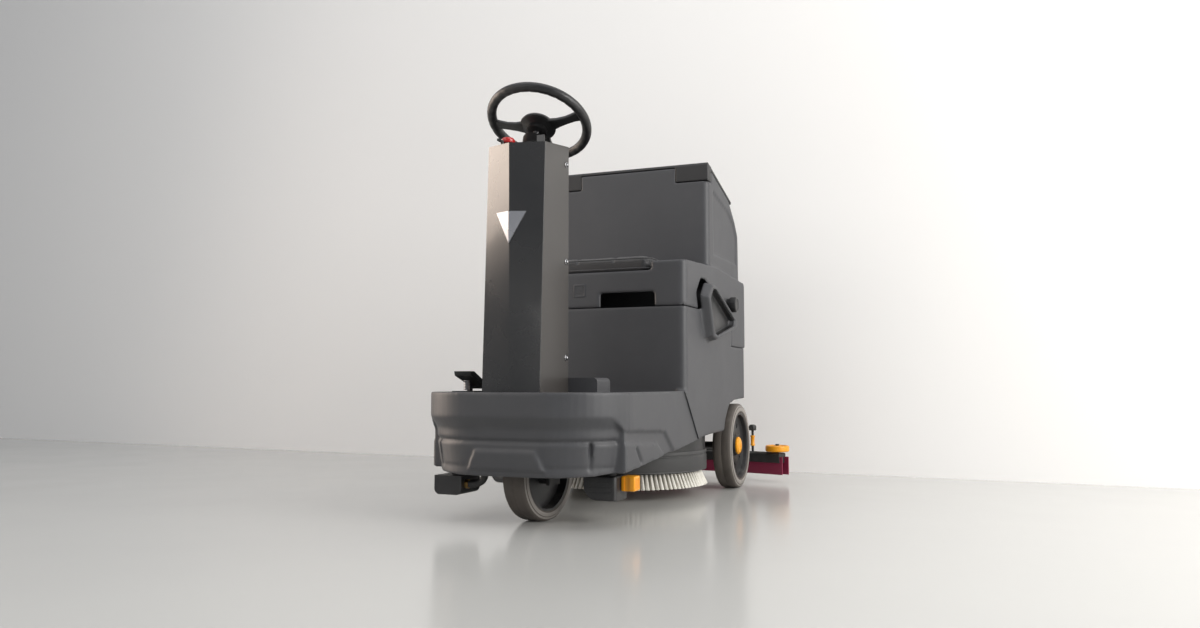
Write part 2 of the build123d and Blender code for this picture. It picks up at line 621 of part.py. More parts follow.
# ---------------------------------------------------------------- batteries
BATTERY = (190.0, 256.0, 262.0)
batteries = None
for i in (-1, 1):
    for j in (0, 1):
        x0 = i * (BATTERY[0] / 2 + 1) - BATTERY[0] / 2
        y0 = BAY_Y[0] + 4 + j * (BATTERY[1] + 2)
        cell = block((x0, x0 + BATTERY[0]), (y0, y0 + BATTERY[1]), (BASE_Z + GAP, BASE_Z + BATTERY[2]))
        for k in (-1, 1):
            post_x = x0 + BATTERY[0] / 2 + k * 60
            cell += rod(8, (post_x, y0 + 30, BASE_Z + BATTERY[2] - 1), (post_x, y0 + 30, BASE_Z + BATTERY[2] + 14))
        batteries = cell if batteries is None else batteries + cell
write(batteries, "battery_pack")

# ---------------------------------------------------------------- water feed under the nose
UNDER_DECK_Z = DECK_FLOOR_Z - GAP
BOWL_X = (144.0, 236.0)
BOWL_Y = (-26.0, 66.0)
BOWL_Z = (64.0, 128.0)
bowl = block(BOWL_X, BOWL_Y, BOWL_Z)
low_left = bowl.edges().filter_by(Axis.Y).sort_by(Axis.Z)[:2].sort_by(Axis.X)[0]
bowl = fillet(low_left, 44)
bowl += rod(20, (200, 20, BOWL_Z[1] - 2), (200, 20, UNDER_DECK_Z))
VALVE_Y = 32.0
VALVE_Z = 107.0
VALVE_STEM_R = 6.0
VALVE_STEM = 14.0
bowl -= rod(VALVE_STEM_R + RUN, (BOWL_X[1] - VALVE_STEM, VALVE_Y, VALVE_Z), (BOWL_X[1] + 5, VALVE_Y, VALVE_Z))
write(bowl, "filter_bowl")

VALVE_X0 = BOWL_X[1] + GAP
valve = block((VALVE_X0, VALVE_X0 + 40), (VALVE_Y - 22, VALVE_Y + 22), (VALVE_Z - 20, VALVE_Z + 20))
valve += rod(VALVE_STEM_R, (BOWL_X[1] - VALVE_STEM + GAP, VALVE_Y, VALVE_Z), (VALVE_X0 + 1, VALVE_Y, VALVE_Z))
write(valve, "water_valve")

PUMP_X = (-250.0, -166.0)
PUMP_Y = (-132.0, -32.0)
PUMP_Z = (74.0, 125.0)
pump = block(PUMP_X, PUMP_Y, PUMP_Z)
pump = fillet(pump.edges().filter_by(Axis.Y).sort_by(Axis.Z)[:2], 16)
pump += block((-216, -176), (-96, -56), (PUMP_Z[1] - 2, UNDER_DECK_Z))
write(pump, "water_pump")

FIT_Y = -106.0
FIT_Z = 102.0
HOSE_R = 10.0
fitting = rod(8, (PUMP_X[1] + GAP, FIT_Y, FIT_Z), (PUMP_X[1] + 26, FIT_Y, FIT_Z))
fitting += rod(12, (PUMP_X[1] + GAP, FIT_Y, FIT_Z), (PUMP_X[1] + 8, FIT_Y, FIT_Z))
write(fitting, "pump_fitting")

HOSE_RUN_X = -104.0
hose_points = [(PUMP_X[1] + 10, FIT_Y, FIT_Z), (HOSE_RUN_X, FIT_Y, FIT_Z), (HOSE_RUN_X, FIT_Y - 20, 176),
               (HOSE_RUN_X + 2, FIT_Y + 20, 248), (HOSE_RUN_X, -10, 256), (HOSE_RUN_X - 3, 90, 259),
               (HOSE_RUN_X - 4, 190, 256), (HOSE_RUN_X + 4, 290, 252)]


def cord_radii(points):
    """An arc at each corner, as large as its two runs allow."""
    radii = []
    for a, b, c in zip(points, points[1:], points[2:]):
        first, second = Vector(*b) - Vector(*a), Vector(*c) - Vector(*b)
        turn = radians(first.get_angle(second))
        radii.append(0.45 * min(first.length, second.length) / tan(turn / 2))
    return radii


hose_radii = cord_radii(hose_points)
print("hose radii", [round(r) for r in hose_radii])
hose_path = FilletPolyline(*hose_points, radius=hose_radii)
start_dir = hose_path % 0
hose_section = Plane(origin=hose_path @ 0, z_dir=start_dir) * Circle(HOSE_R)
hose = sweep(hose_section, path=hose_path)
hose -= rod(8.1, (PUMP_X[1], FIT_Y, FIT_Z), (PUMP_X[1] + 26.3, FIT_Y, FIT_Z))
print("solution hose", round(hose_path.length, 1), round(hose.volume / (pi * HOSE_R ** 2), 1))
write(hose, "solution_hose")

# ---------------------------------------------------------------- brush deck
HOUSING_R = SHROUD_D / 2 - 5
HOUSING_Z = (150.0, 200.0)
BAND_Z = (BRUSH_LIFT + BRISTLE_H + 4, 154.0)
SPINDLE_R = 16.0
centre = (0, BRUSH_Y, 0)
housing = turned([(SPINDLE_R + RUN, HOUSING_Z[1] - 4), (HOUSING_R - 4, HOUSING_Z[1] - 4),
                  (HOUSING_R - 4, HOUSING_Z[0]), (HOUSING_R, HOUSING_Z[0]), (HOUSING_R, HOUSING_Z[1]),
                  (SPINDLE_R + RUN, HOUSING_Z[1])], centre)
for y in GUIDE_YS:
    housing += rod(GUIDE_R, (0, y, HOUSING_Z[1] - 2), (0, y, UNDER_DECK_Z - 4))
write(housing, "brush_housing")

band = turned([(HOUSING_R + 0.02, BAND_Z[0]), (SHROUD_D / 2, BAND_Z[0]), (SHROUD_D / 2, BAND_Z[1]),
               (HOUSING_R + 0.02, BAND_Z[1])], centre)
write(band, "splash_band")

motor_z = HOUSING_Z[1] + GAP
brush_motor = turned([(0, motor_z + 14), (SPINDLE_R + 2, motor_z + 14), (SPINDLE_R + 2, motor_z), (72, motor_z),
                      (76, motor_z + 20), (76, motor_z + 84), (60, motor_z + 100), (0, motor_z + 100)], centre)
write(brush_motor, "brush_motor")

DISC_Z = (BRUSH_LIFT + BRISTLE_H, BRUSH_LIFT + BRISTLE_H + 16)
DISC_R = HOUSING_R - 12
disc = turned([(0, DISC_Z[0] + 4), (60, DISC_Z[0]), (DISC_R, DISC_Z[0]), (DISC_R, DISC_Z[1]),
               (60, DISC_Z[1]), (SPINDLE_R, DISC_Z[1] + 20), (SPINDLE_R, motor_z + 13), (0, motor_z + 13)],
              centre)
write(disc, "brush_disc")
bristles = turned([(150, BRUSH_LIFT), (BRUSH_D / 2, BRUSH_LIFT), (DISC_R - 4, DISC_Z[0] - GAP),
                   (140, DISC_Z[0] - GAP)], centre)
write(bristles, "brush_bristles")

# ---------------------------------------------------------------- squeegee
ARC_R = (SQUEEGEE_HALF_W ** 2 + SQUEEGEE_SAGITTA ** 2) / (2 * SQUEEGEE_SAGITTA)
ARC_Y = SQUEEGEE_MID_Y - ARC_R
BODY_Z = (72.0, 110.0)
BLADE_Z = (SQUEEGEE_LIFT, 96.0)


def arc_strip(r_in, r_out, half_w, z):
    """A bent strip of the squeegee, between two radii about the bend's centre."""
    strip = tube(r_out, r_in, (0, ARC_Y, z[0]), (0, ARC_Y, z[1]))
    return strip & block((-half_w, half_w), (ARC_Y + ARC_R / 2, REAR_MOST_Y + 60), (z[0] - 1, z[1] + 1))


BODY_HALF = SQUEEGEE_HALF_W - 16
squeegee_body = arc_strip(ARC_R - 30, ARC_R + 16, BODY_HALF, BODY_Z)
front_slot = arc_strip(ARC_R - 26, ARC_R + 12, BODY_HALF + 5, (BODY_Z[0] - 5, BODY_Z[1] - 10))
squeegee_body -= front_slot
squeegee_body += rod(SPIGOT_R, (0, SPIGOT_Y, BODY_Z[1] - 2), (0, SPIGOT_Y, BODY_Z[1] + 40))
squeegee_body -= rod(SPIGOT_R - 5, (0, SPIGOT_Y, BODY_Z[0] - 10), (0, SPIGOT_Y, BODY_Z[1] + 50))
write(squeegee_body, "squeegee_body")
front_blade = arc_strip(ARC_R - 26 + GAP, ARC_R - 26 + GAP + BLADE_T, SQUEEGEE_HALF_W - 6, BLADE_Z)
rear_blade = arc_strip(ARC_R + 12 - GAP - BLADE_T, ARC_R + 12 - GAP, SQUEEGEE_HALF_W, BLADE_Z)
write(Compound([*front_blade.solids(), *rear_blade.solids()]), "squeegee_blades")

BRACKET_Y = ARM_Y + ARM_SPAN[0]


def squeegee_bracket():
    bracket = None
    for side in (-1, 1):
        x = side * 46
        plate = block((x - 5, x + 5), (BRACKET_Y - 16, SQUEEGEE_MID_Y - 12),
                      (BODY_Z[1] + GAP, ARM_ZS[1] + ARM_SPAN[1] + 14))
        bracket = plate if bracket is None else bracket + plate
    bracket += block((-51, 51), (SQUEEGEE_MID_Y - 62, SQUEEGEE_MID_Y - 42), (BODY_Z[1] + GAP, BODY_Z[1] + 8))
    foot = block((-160, 160), (SQUEEGEE_MID_Y - 26, SQUEEGEE_MID_Y - 6), (BODY_Z[1] + GAP, BODY_Z[1] + 6))
    bracket += foot - block((-32, 32), (0, 2000), (0, 400))
    for z in ARM_ZS:
        bracket += rod(PIN_R, (-51, BRACKET_Y, z + ARM_SPAN[1]), (51, BRACKET_Y, z + ARM_SPAN[1]))
    return bracket


write(squeegee_bracket(), "squeegee_bracket")


def lift_arm(z, loose):
    """One arm of the squeegee's parallel linkage, bored for its two pins."""
    arm = None
    for side in (-1, 1):
        x = sorted((side * 30, side * (41 - GAP)))
        plate = side_prism([(ARM_Y - 2, z - 10), (BRACKET_Y - 2, z + ARM_SPAN[1] - 10),
                            (BRACKET_Y - 2, z + ARM_SPAN[1] + 10), (ARM_Y - 2, z + 10)], *x)
        plate += rod(10, (x[0], ARM_Y, z), (x[1], ARM_Y, z))
        plate += rod(10, (x[0], BRACKET_Y, z + ARM_SPAN[1]), (x[1], BRACKET_Y, z + ARM_SPAN[1]))
        arm = plate if arm is None else arm + plate
    web_y = (ARM_Y + BRACKET_Y) / 2
    web_z = z + ARM_SPAN[1] / 2
    arm += block((-31, 31), (web_y - 20, web_y + 20), (web_z - 4, web_z + 4))
    arm -= rod(PIN_R + RUN, (-60, ARM_Y, z), (60, ARM_Y, z))
    arm -= rod(PIN_R + loose, (-60, BRACKET_Y, z + ARM_SPAN[1]), (60, BRACKET_Y, z + ARM_SPAN[1]))
    return arm


write(lift_arm(ARM_ZS[0], RUN), "squeegee_lower_arm")
write(lift_arm(ARM_ZS[1], 0.5), "squeegee_upper_arm")

ROLLER_X = 402.0
ROLLER_R = 45.0
ROLLER_Z = (114.0, 138.0)


def arc_y(x, offset=0.0):
    """The squeegee's Y at one X, a distance behind its centre line."""
    r = ARC_R + offset
    return ARC_Y + (r * r - x * x) ** 0.5


roller_y = arc_y(ROLLER_X, -8)
for side, word in ((1, "left"), (-1, "right")):
    x = side * ROLLER_X
    roller = turned([(5 + RUN, ROLLER_Z[0]), (ROLLER_R - 4, ROLLER_Z[0]), (ROLLER_R, ROLLER_Z[0] + 4),
                     (ROLLER_R, ROLLER_Z[1] - 4), (ROLLER_R - 4, ROLLER_Z[1]), (5 + RUN, ROLLER_Z[1])],
                    (x, roller_y, 0))
    write(roller, f"squeegee_roller_{word}")

KNOB_X = 300.0
knobs = None
for side in (-1, 1):
    x = side * KNOB_X
    y = arc_y(KNOB_X, -8)
    knob = rod(5, (x, y, BODY_Z[1] + GAP), (x, y, 196))
    knob += rod(9, (x, y, 132), (x, y, 172))
    knob += turned([(0, 190), (12, 190), (15, 195), (15, 208), (12, 214), (0, 214)], (x, y, 0))
    bolt = rod(5, (side * ROLLER_X, roller_y, BODY_Z[1] + GAP), (side * ROLLER_X, roller_y, ROLLER_Z[1] + 6))
    bolt += rod(9, (side * ROLLER_X, roller_y, ROLLER_Z[1] + GAP), (side * ROLLER_X, roller_y, ROLLER_Z[1] + 6))
    bolt += rod(8, (side * ROLLER_X, roller_y, BODY_Z[1] + GAP), (side * ROLLER_X, roller_y, ROLLER_Z[0] - GAP))
    pair = knob + bolt
    knobs = pair if knobs is None else knobs + pair
write(knobs, "squeegee_posts")

# ---------------------------------------------------------------- upper body: seat box and recovery tank
HINGE_Y = TAIL_Y + 10
HINGE_Z = REAR_STEP_Z - 10
HINGE_R = 6.0
top_slope = (TANK_TOP_REAR_Z - TANK_TOP_Z) / (TANK_TOP_REAR_Y - BACKREST_Y)
UPPER_BACK_Y = TAIL_Y - 62
SHOULDER_RISE = 14.0


def upper_profile(inset, bottom):
    """Side outline of the seat box and backrest tank."""
    i = inset
    return [(TANK_FRONT_Y + i, bottom), (TANK_FRONT_Y + i, SEAT_Z - i),
            (BACKREST_Y + i, SEAT_Z + SHOULDER_RISE - i), (BACKREST_Y + i, TANK_TOP_Z - i),
            (TANK_TOP_REAR_Y - i, TANK_TOP_REAR_Z - i), (TANK_TOP_REAR_Y + 60 - i, 985 - i),
            (UPPER_BACK_Y - i, 930 - i), (UPPER_BACK_Y + 6 - i, 745 - i), (TAIL_Y - i, 715 - i),
            (TAIL_Y - i, bottom)]


def recovery_tank():
    outer = side_prism(upper_profile(0, REAR_STEP_Z), -BODY_HALF_W, BODY_HALF_W)
    plan = make_face(Polyline((-BODY_HALF_W, TANK_FRONT_Y), (BODY_HALF_W, TANK_FRONT_Y),
                              (BODY_HALF_W, TAIL_Y), (-BODY_HALF_W, TAIL_Y), close=True))
    plan = fillet(plan.vertices().sort_by(Axis.Y)[-2:], TAIL_RADIUS)
    plan = fillet(plan.vertices().sort_by(Axis.Y)[:2], 22)
    outer &= extrude(Pos(0, 0, REAR_STEP_Z) * plan, 800)
    for side in (-1, 1):
        wedge = slab([(side * BODY_HALF_W, BACKREST_Y - 10), (side * (BODY_HALF_W + 30), BACKREST_Y - 10),
                      (side * (BODY_HALF_W + 30), TAIL_Y + 20), (side * BACKREST_HALF_W, TAIL_Y + 20),
                      (side * BACKREST_HALF_W, BACKREST_Y - 10)], SEAT_Z + SHOULDER_RISE + 8, 1300)
        outer -= wedge
    outer -= block((-400, 400), (0, REAR_STEP_Y + GAP), (REAR_STEP_Z - 10, SEAM_Z))
    seat_room = block((-BODY_HALF_W + SHELL, BODY_HALF_W - SHELL), (TANK_FRONT_Y + SHELL, BACKREST_Y - 8),
                      (REAR_STEP_Z, SEAT_FLOOR_Z - SHELL))
    outer -= seat_room
    back_room = block((-BODY_HALF_W + 36, BODY_HALF_W - 36), (REAR_STEP_Y + 10, TAIL_Y - 30), (REAR_STEP_Z - 5, 632))
    outer -= back_room
    tank_room = [(BACKREST_Y + SHELL, 640), (BACKREST_Y + SHELL, TANK_TOP_Z - 30),
                 (TANK_TOP_REAR_Y - 30, TANK_TOP_REAR_Z - 22), (TANK_TOP_REAR_Y + 20, 970),
                 (UPPER_BACK_Y - SHELL - 6, 915), (UPPER_BACK_Y - SHELL, 640)]
    outer -= side_prism(tank_room, -BACKREST_HALF_W + SHELL, BACKREST_HALF_W - SHELL)
    outer -= block((-MOUTH_X, MOUTH_X), MOUTH_Y, (900, 1300))
    outer -= block((-SEAT_HALF_W, SEAT_HALF_W), (TANK_FRONT_Y - 10, BACKREST_Y), (SEAT_FLOOR_Z, SEAT_Z + 40))
    for side in (-1, 1):
        x = sorted((side * (LID_EAR_INNER_X - GAP), side * 400))
        outer -= block(x, (BACKREST_Y - 20, BACKREST_Y + 46 + GAP), (TANK_TOP_Z - LID_EAR_DROP - GAP, 1300))
    outer -= slab(fill_funnel(12), 600, 656)
    outer -= slab([(24, TANK_FRONT_Y - 5), (204, TANK_FRONT_Y - 5), (196, TANK_FRONT_Y + 40),
                   (32, TANK_FRONT_Y + 40)], SEAM_Z - 2, 658)
    for side in (-1, 1):
        ear = block((side * 200 - 20, side * 200 + 20), (TAIL_Y - 4, HINGE_Y + 8), (REAR_STEP_Z, REAR_STEP_Z + 40))
        ear += block((side * 200 - 20, side * 200 + 20), (HINGE_Y - 7, HINGE_Y + 8), (HINGE_Z, REAR_STEP_Z + 2))
        ear += rod(HINGE_Y - TAIL_Y - GAP, (side * 200 - 20, HINGE_Y, HINGE_Z), (side * 200 + 20, HINGE_Y, HINGE_Z))
        outer += ear
    outer -= rod(HINGE_R + RUN, (-240, HINGE_Y, HINGE_Z), (240, HINGE_Y, HINGE_Z))
    for side in (-1, 1):
        x = sorted((side * LID_HINGE_X[0], side * LID_HINGE_X[1]))
        lug = block(x, (LID_HINGE[0] - 9, LID_HINGE[0] + 9), (LID_HINGE[1] - 30, LID_HINGE[1] + 9))
        outer += lug - rod(LID_PIN_R + RUN, (x[0] - 1, *LID_HINGE), (x[1] + 1, *LID_HINGE))
    return outer


SEAT_FLOOR_Z = SEAT_Z - 28
MOUTH_X = 210.0
MOUTH_Y = (750.0, 960.0)
LID_HINGE = (TANK_TOP_REAR_Y + 18, TANK_TOP_REAR_Z + 14)
LID_HINGE_X = (120.0, 150.0)
LID_PIN_R = 4.0
write(recovery_tank(), "recovery_tank")

pins = None
for side in (-1, 1):
    pin = rod(HINGE_R, (side * 170, HINGE_Y, HINGE_Z), (side * 230, HINGE_Y, HINGE_Z))
    for x in (174, 226):
        pin += block(sorted((side * (x - 4), side * (x + 4))), (TAIL_Y + GAP, HINGE_Y + 8),
                     (HINGE_Z - 36, HINGE_Z + 8))
    pin += block(sorted((side * 170, side * 230)), (TAIL_Y + GAP, TAIL_Y + 5), (HINGE_Z - 60, HINGE_Z - 12))
    pins = pin if pins is None else pins + pin
write(pins, "tank_hinge")

# ---------------------------------------------------------------- lid
def tank_lid():
    under = lambda y: TANK_TOP_Z + GAP + (y - BACKREST_Y) * top_slope
    y0, y1 = BACKREST_Y, TANK_TOP_REAR_Y
    lid = side_prism([(y0, under(y0)), (y1, under(y1)), (y1, under(y1) + LID_THICK),
                      (y0 + 4, under(y0) + LID_THICK)], -BACKREST_HALF_W, BACKREST_HALF_W)
    for side in (-1, 1):
        x = sorted((side * LID_EAR_INNER_X, side * BACKREST_HALF_W))
        lid += block(x, (y0, y0 + 46), (TANK_TOP_Z - LID_EAR_DROP, TANK_TOP_Z + 1))
    for side in (-1, 1):
        x = sorted((side * (LID_HINGE_X[0] - 16), side * (LID_HINGE_X[0] - 1)))
        lid += block(x, (y1 - 20, LID_HINGE[0] + 4), (LID_HINGE[1] - 6, LID_HINGE[1] + 6))
        lid += rod(LID_PIN_R, (x[0], *LID_HINGE), (side * LID_HINGE_X[1], *LID_HINGE))
    return lid


write(tank_lid(), "tank_lid")

# ---------------------------------------------------------------- seat and what the upper body holds
cushion = block((-SEAT_HALF_W + 1, SEAT_HALF_W - 1), (TANK_FRONT_Y + 1, BACKREST_Y - 2),
                (SEAT_FLOOR_Z + GAP, SEAT_Z + SEAT_CROWN))
cushion = fillet(cushion.faces().sort_by(Axis.Z)[-1].edges(), 18)
write(cushion, "seat_cushion")

vacuum = turned([(0, 520), (56, 520), (70, 534), (70, 600), (56, 632 - GAP), (0, 632 - GAP)], (-120, 1056, 0))
write(vacuum, "vacuum_motor")

PIPE_AT = (-150.0, 1030.0)
float_cage = tube(24, 20, (*PIPE_AT, 640 + GAP), (*PIPE_AT, 860))
float_cage += turned([(0, 900), (34, 900), (34, 856), (24, 856), (24, 862), (30, 862), (30, 896), (0, 896)],
                     (*PIPE_AT, 0))
write(float_cage, "float_cage")

elbow = tube(28, 24, (60, TAIL_Y + GAP, 612), (60, TAIL_Y + 28, 612)) + tube(28, 24, (60, TAIL_Y + 28, 626), (60, TAIL_Y + 28, 560))
elbow += rod(28, (60, TAIL_Y + 28, 624), (60, TAIL_Y + 28, 640))
write(elbow, "suction_inlet")

CAP_Y = FUNNEL_Y + 190
CAP_Z = 650.0
cap = rod(22, (BODY_HALF_W + GAP, CAP_Y, CAP_Z), (BODY_HALF_W + 12, CAP_Y, CAP_Z))
cap += rod(27, (BODY_HALF_W + 10, CAP_Y, CAP_Z), (BODY_HALF_W + 34, CAP_Y, CAP_Z))
write(cap, "fill_cap")
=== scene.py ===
import json
import math
import random

import bmesh
import bpy
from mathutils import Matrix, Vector


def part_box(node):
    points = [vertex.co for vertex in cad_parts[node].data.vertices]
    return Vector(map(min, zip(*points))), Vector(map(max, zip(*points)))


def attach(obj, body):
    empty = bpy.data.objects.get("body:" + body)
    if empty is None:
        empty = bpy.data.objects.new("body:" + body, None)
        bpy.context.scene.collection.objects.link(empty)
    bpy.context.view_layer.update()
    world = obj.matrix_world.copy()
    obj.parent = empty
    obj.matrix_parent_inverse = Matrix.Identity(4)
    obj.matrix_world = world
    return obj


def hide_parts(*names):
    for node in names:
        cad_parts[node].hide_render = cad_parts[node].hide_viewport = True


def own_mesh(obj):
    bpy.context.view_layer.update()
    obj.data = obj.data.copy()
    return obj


# Ride-on floor scrubber. Lengths are millimetres measured from the front wheel's axle line,
# and `at` turns them into metres in the shared frame.
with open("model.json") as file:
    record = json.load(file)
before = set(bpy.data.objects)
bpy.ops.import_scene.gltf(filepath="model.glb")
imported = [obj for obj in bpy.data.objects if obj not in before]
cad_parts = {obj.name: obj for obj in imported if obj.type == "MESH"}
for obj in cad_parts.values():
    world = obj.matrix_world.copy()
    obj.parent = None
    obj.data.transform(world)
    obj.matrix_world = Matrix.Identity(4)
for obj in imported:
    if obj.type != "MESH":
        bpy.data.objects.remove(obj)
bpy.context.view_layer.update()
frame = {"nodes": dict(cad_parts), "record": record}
nodes = frame["nodes"]

tyre_low, tyre_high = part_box("front_tyre")
AXLE_Y = (tyre_low.y + tyre_high.y) / 2


def at(x, y, z):
    return Vector((x / 1000, y / 1000 + AXLE_Y, z / 1000))


def corner_mm(point):
    return Vector((point.x * 1000, (point.y - AXLE_Y) * 1000, point.z * 1000))


def node_mm(name):
    low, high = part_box(name)
    return corner_mm(low), corner_mm(high)


# ---------------------------------------------------------------- camera, light and floor
bpy.ops.object.camera_add(location=at(1135.5, -2327.3, 371.7))
camera = bpy.context.object
camera.name = "camera"
camera.rotation_euler = (math.radians(90 + 4.28), 0, math.radians(22.29))
camera.data.lens = 27.97
camera.data.sensor_width = 36
camera.data.clip_end = 60
bpy.context.scene.camera = camera
bpy.context.scene.view_settings.view_transform = "Standard"


def soft_light(name, spot, target, size, power, colour):
    bpy.ops.object.light_add(type="AREA", location=spot)
    lamp = bpy.context.object
    lamp.name = name
    lamp.data.shape = "RECTANGLE"
    lamp.data.size, lamp.data.size_y = size
    lamp.data.energy = power
    lamp.data.color = colour
    aim = Vector(target) - Vector(spot)
    lamp.rotation_euler = aim.to_track_quat("-Z", "Y").to_euler()


soft_light("window_right", (4.4, -1.2, 1.9), (0, 0.1, 0.5), (2.8, 2.6), 190, (1, 0.98, 0.95))
soft_light("window_front", (-1.6, -4.6, 2.2), (0, 0, 0.5), (3.4, 2.2), 30, (1, 0.97, 0.93))
soft_light("ceiling", (0, -1.4, 4.4), (0, -0.6, 0), (5, 4), 75, (1, 1, 1))
soft_light("warm_bounce", (-3.5, -1.0, 1.5), (0, -0.7, 0.7), (2.2, 2.8), 125, (1, 0.83, 0.7))
bpy.context.object.visible_diffuse = False


def stage_surface(name, colour, rough, one_sided=False):
    """A plain surface for the room. The wall is clear from behind, so that it never hides the machine."""
    material = bpy.data.materials.new(name)
    material.use_nodes = True
    tree = material.node_tree
    shader = tree.nodes["Principled BSDF"]
    shader.inputs["Base Color"].default_value = (*colour, 1)
    place = tree.nodes.new("ShaderNodeTexCoord")
    cloud = tree.nodes.new("ShaderNodeTexNoise")
    cloud.inputs["Scale"].default_value = 1.3
    cloud.inputs["Detail"].default_value = 5
    tree.links.new(place.outputs["Object"], cloud.inputs["Vector"])
    spread = tree.nodes.new("ShaderNodeMapRange")
    spread.inputs["To Min"].default_value = rough - 0.05
    spread.inputs["To Max"].default_value = rough + 0.06
    tree.links.new(cloud.outputs["Fac"], spread.inputs["Value"])
    tree.links.new(spread.outputs[0], shader.inputs["Roughness"])
    if one_sided:
        side = tree.nodes.new("ShaderNodeNewGeometry")
        clear_back = tree.nodes.new("ShaderNodeBsdfTransparent")
        choose = tree.nodes.new("ShaderNodeMixShader")
        tree.links.new(side.outputs["Backfacing"], choose.inputs[0])
        tree.links.new(shader.outputs[0], choose.inputs[1])
        tree.links.new(clear_back.outputs[0], choose.inputs[2])
        tree.links.new(choose.outputs[0], tree.nodes["Material Output"].inputs["Surface"])
    return material


bpy.ops.object.select_all(action="DESELECT")
bpy.ops.mesh.primitive_plane_add(size=24, location=(0, 0, 0))
floor = bpy.context.object
floor.name = "floor"
floor.data.materials.append(stage_surface("polished_floor", (0.55, 0.545, 0.525), 0.17))
bpy.ops.mesh.primitive_plane_add(size=1, location=(0, 1.137, 3.2),
                                 rotation=(math.radians(90), 0, math.radians(-4.4)))
wall = bpy.context.object
wall.name = "wall"
wall.scale = (22, 6.4, 1)
wall.data.materials.append(stage_surface("painted_wall", (0.93, 0.915, 0.895), 0.7, one_sided=True))

world = bpy.data.worlds.new("soft_room")
bpy.context.scene.world = world
world.use_nodes = True
world.node_tree.nodes["Background"].inputs["Color"].default_value = (0.92, 0.95, 1, 1)
world.node_tree.nodes["Background"].inputs["Strength"].default_value = 0.42


# ---------------------------------------------------------------- shared finishes
def new_group(name, inputs, outputs):
    group = bpy.data.node_groups.new(name, "ShaderNodeTree")
    for socket, value in inputs:
        made = group.interface.new_socket(name=socket, in_out="INPUT", socket_type="NodeSocketFloat")
        made.default_value = value
    for socket in outputs:
        group.interface.new_socket(name=socket, in_out="OUTPUT", socket_type="NodeSocketFloat")
    entry = group.nodes.new("NodeGroupInput")
    leave = group.nodes.new("NodeGroupOutput")
    return group, entry, leave


def add(tree, kind, values=(), **settings):
    node = tree.nodes.new(kind)
    for key, value in settings.items():
        setattr(node, key, value)
    for key, value in dict(values).items():
        node.inputs[key].default_value = value
    return node


def wire(tree, source, target):
    tree.links.new(source, target)


def grain_group():
    """Fine moulded stipple, and a slow cloudy tone over the whole face."""
    group, entry, leave = new_group("moulded_grain", [("Size", 900.0), ("Cloud", 5.0)], ["Height", "Tone"])
    place = add(group, "ShaderNodeTexCoord")
    stipple = add(group, "ShaderNodeTexNoise", {"Detail": 2.0, "Roughness": 0.6})
    wire(group, place.outputs["Object"], stipple.inputs["Vector"])
    wire(group, entry.outputs["Size"], stipple.inputs["Scale"])
    pits = add(group, "ShaderNodeTexVoronoi", feature="SMOOTH_F1")
    wire(group, place.outputs["Object"], pits.inputs["Vector"])
    wire(group, entry.outputs["Size"], pits.inputs["Scale"])
    mixed = add(group, "ShaderNodeMath", operation="MULTIPLY")
    wire(group, stipple.outputs["Fac"], mixed.inputs[0])
    wire(group, pits.outputs["Distance"], mixed.inputs[1])
    wire(group, mixed.outputs[0], leave.inputs["Height"])
    cloud = add(group, "ShaderNodeTexNoise", {"Detail": 5.0, "Roughness": 0.55})
    wire(group, place.outputs["Object"], cloud.inputs["Vector"])
    wire(group, entry.outputs["Cloud"], cloud.inputs["Scale"])
    wire(group, cloud.outputs["Fac"], leave.inputs["Tone"])
    return group


def dust_group():
    """Dry dust that settles on faces that look up, thicker near the ground."""
    group, entry, leave = new_group("settled_dust", [("Amount", 0.5), ("Size", 22.0)], ["Mask"])
    shape = add(group, "ShaderNodeNewGeometry")
    split = add(group, "ShaderNodeSeparateXYZ")
    wire(group, shape.outputs["Normal"], split.inputs[0])
    up = add(group, "ShaderNodeMapRange", {"From Min": 0.2, "From Max": 1.0, "To Min": 0.12, "To Max": 1.0})
    wire(group, split.outputs["Z"], up.inputs["Value"])
    place = add(group, "ShaderNodeTexCoord")
    height = add(group, "ShaderNodeSeparateXYZ")
    wire(group, place.outputs["Object"], height.inputs[0])
    low = add(group, "ShaderNodeMapRange", {"From Min": 0.0, "From Max": 0.5, "To Min": 1.0, "To Max": 0.35})
    wire(group, height.outputs["Z"], low.inputs["Value"])
    patches = add(group, "ShaderNodeTexNoise", {"Detail": 7.0, "Roughness": 0.62})
    wire(group, place.outputs["Object"], patches.inputs["Vector"])
    wire(group, entry.outputs["Size"], patches.inputs["Scale"])
    spread = add(group, "ShaderNodeMapRange", {"From Min": 0.4, "From Max": 0.75})
    wire(group, patches.outputs["Fac"], spread.inputs["Value"])
    value = spread.outputs[0]
    for other in (up.outputs[0], low.outputs[0], entry.outputs["Amount"]):
        product = add(group, "ShaderNodeMath", operation="MULTIPLY")
        wire(group, value, product.inputs[0])
        wire(group, other, product.inputs[1])
        value = product.outputs[0]
    wire(group, value, leave.inputs["Mask"])
    return group


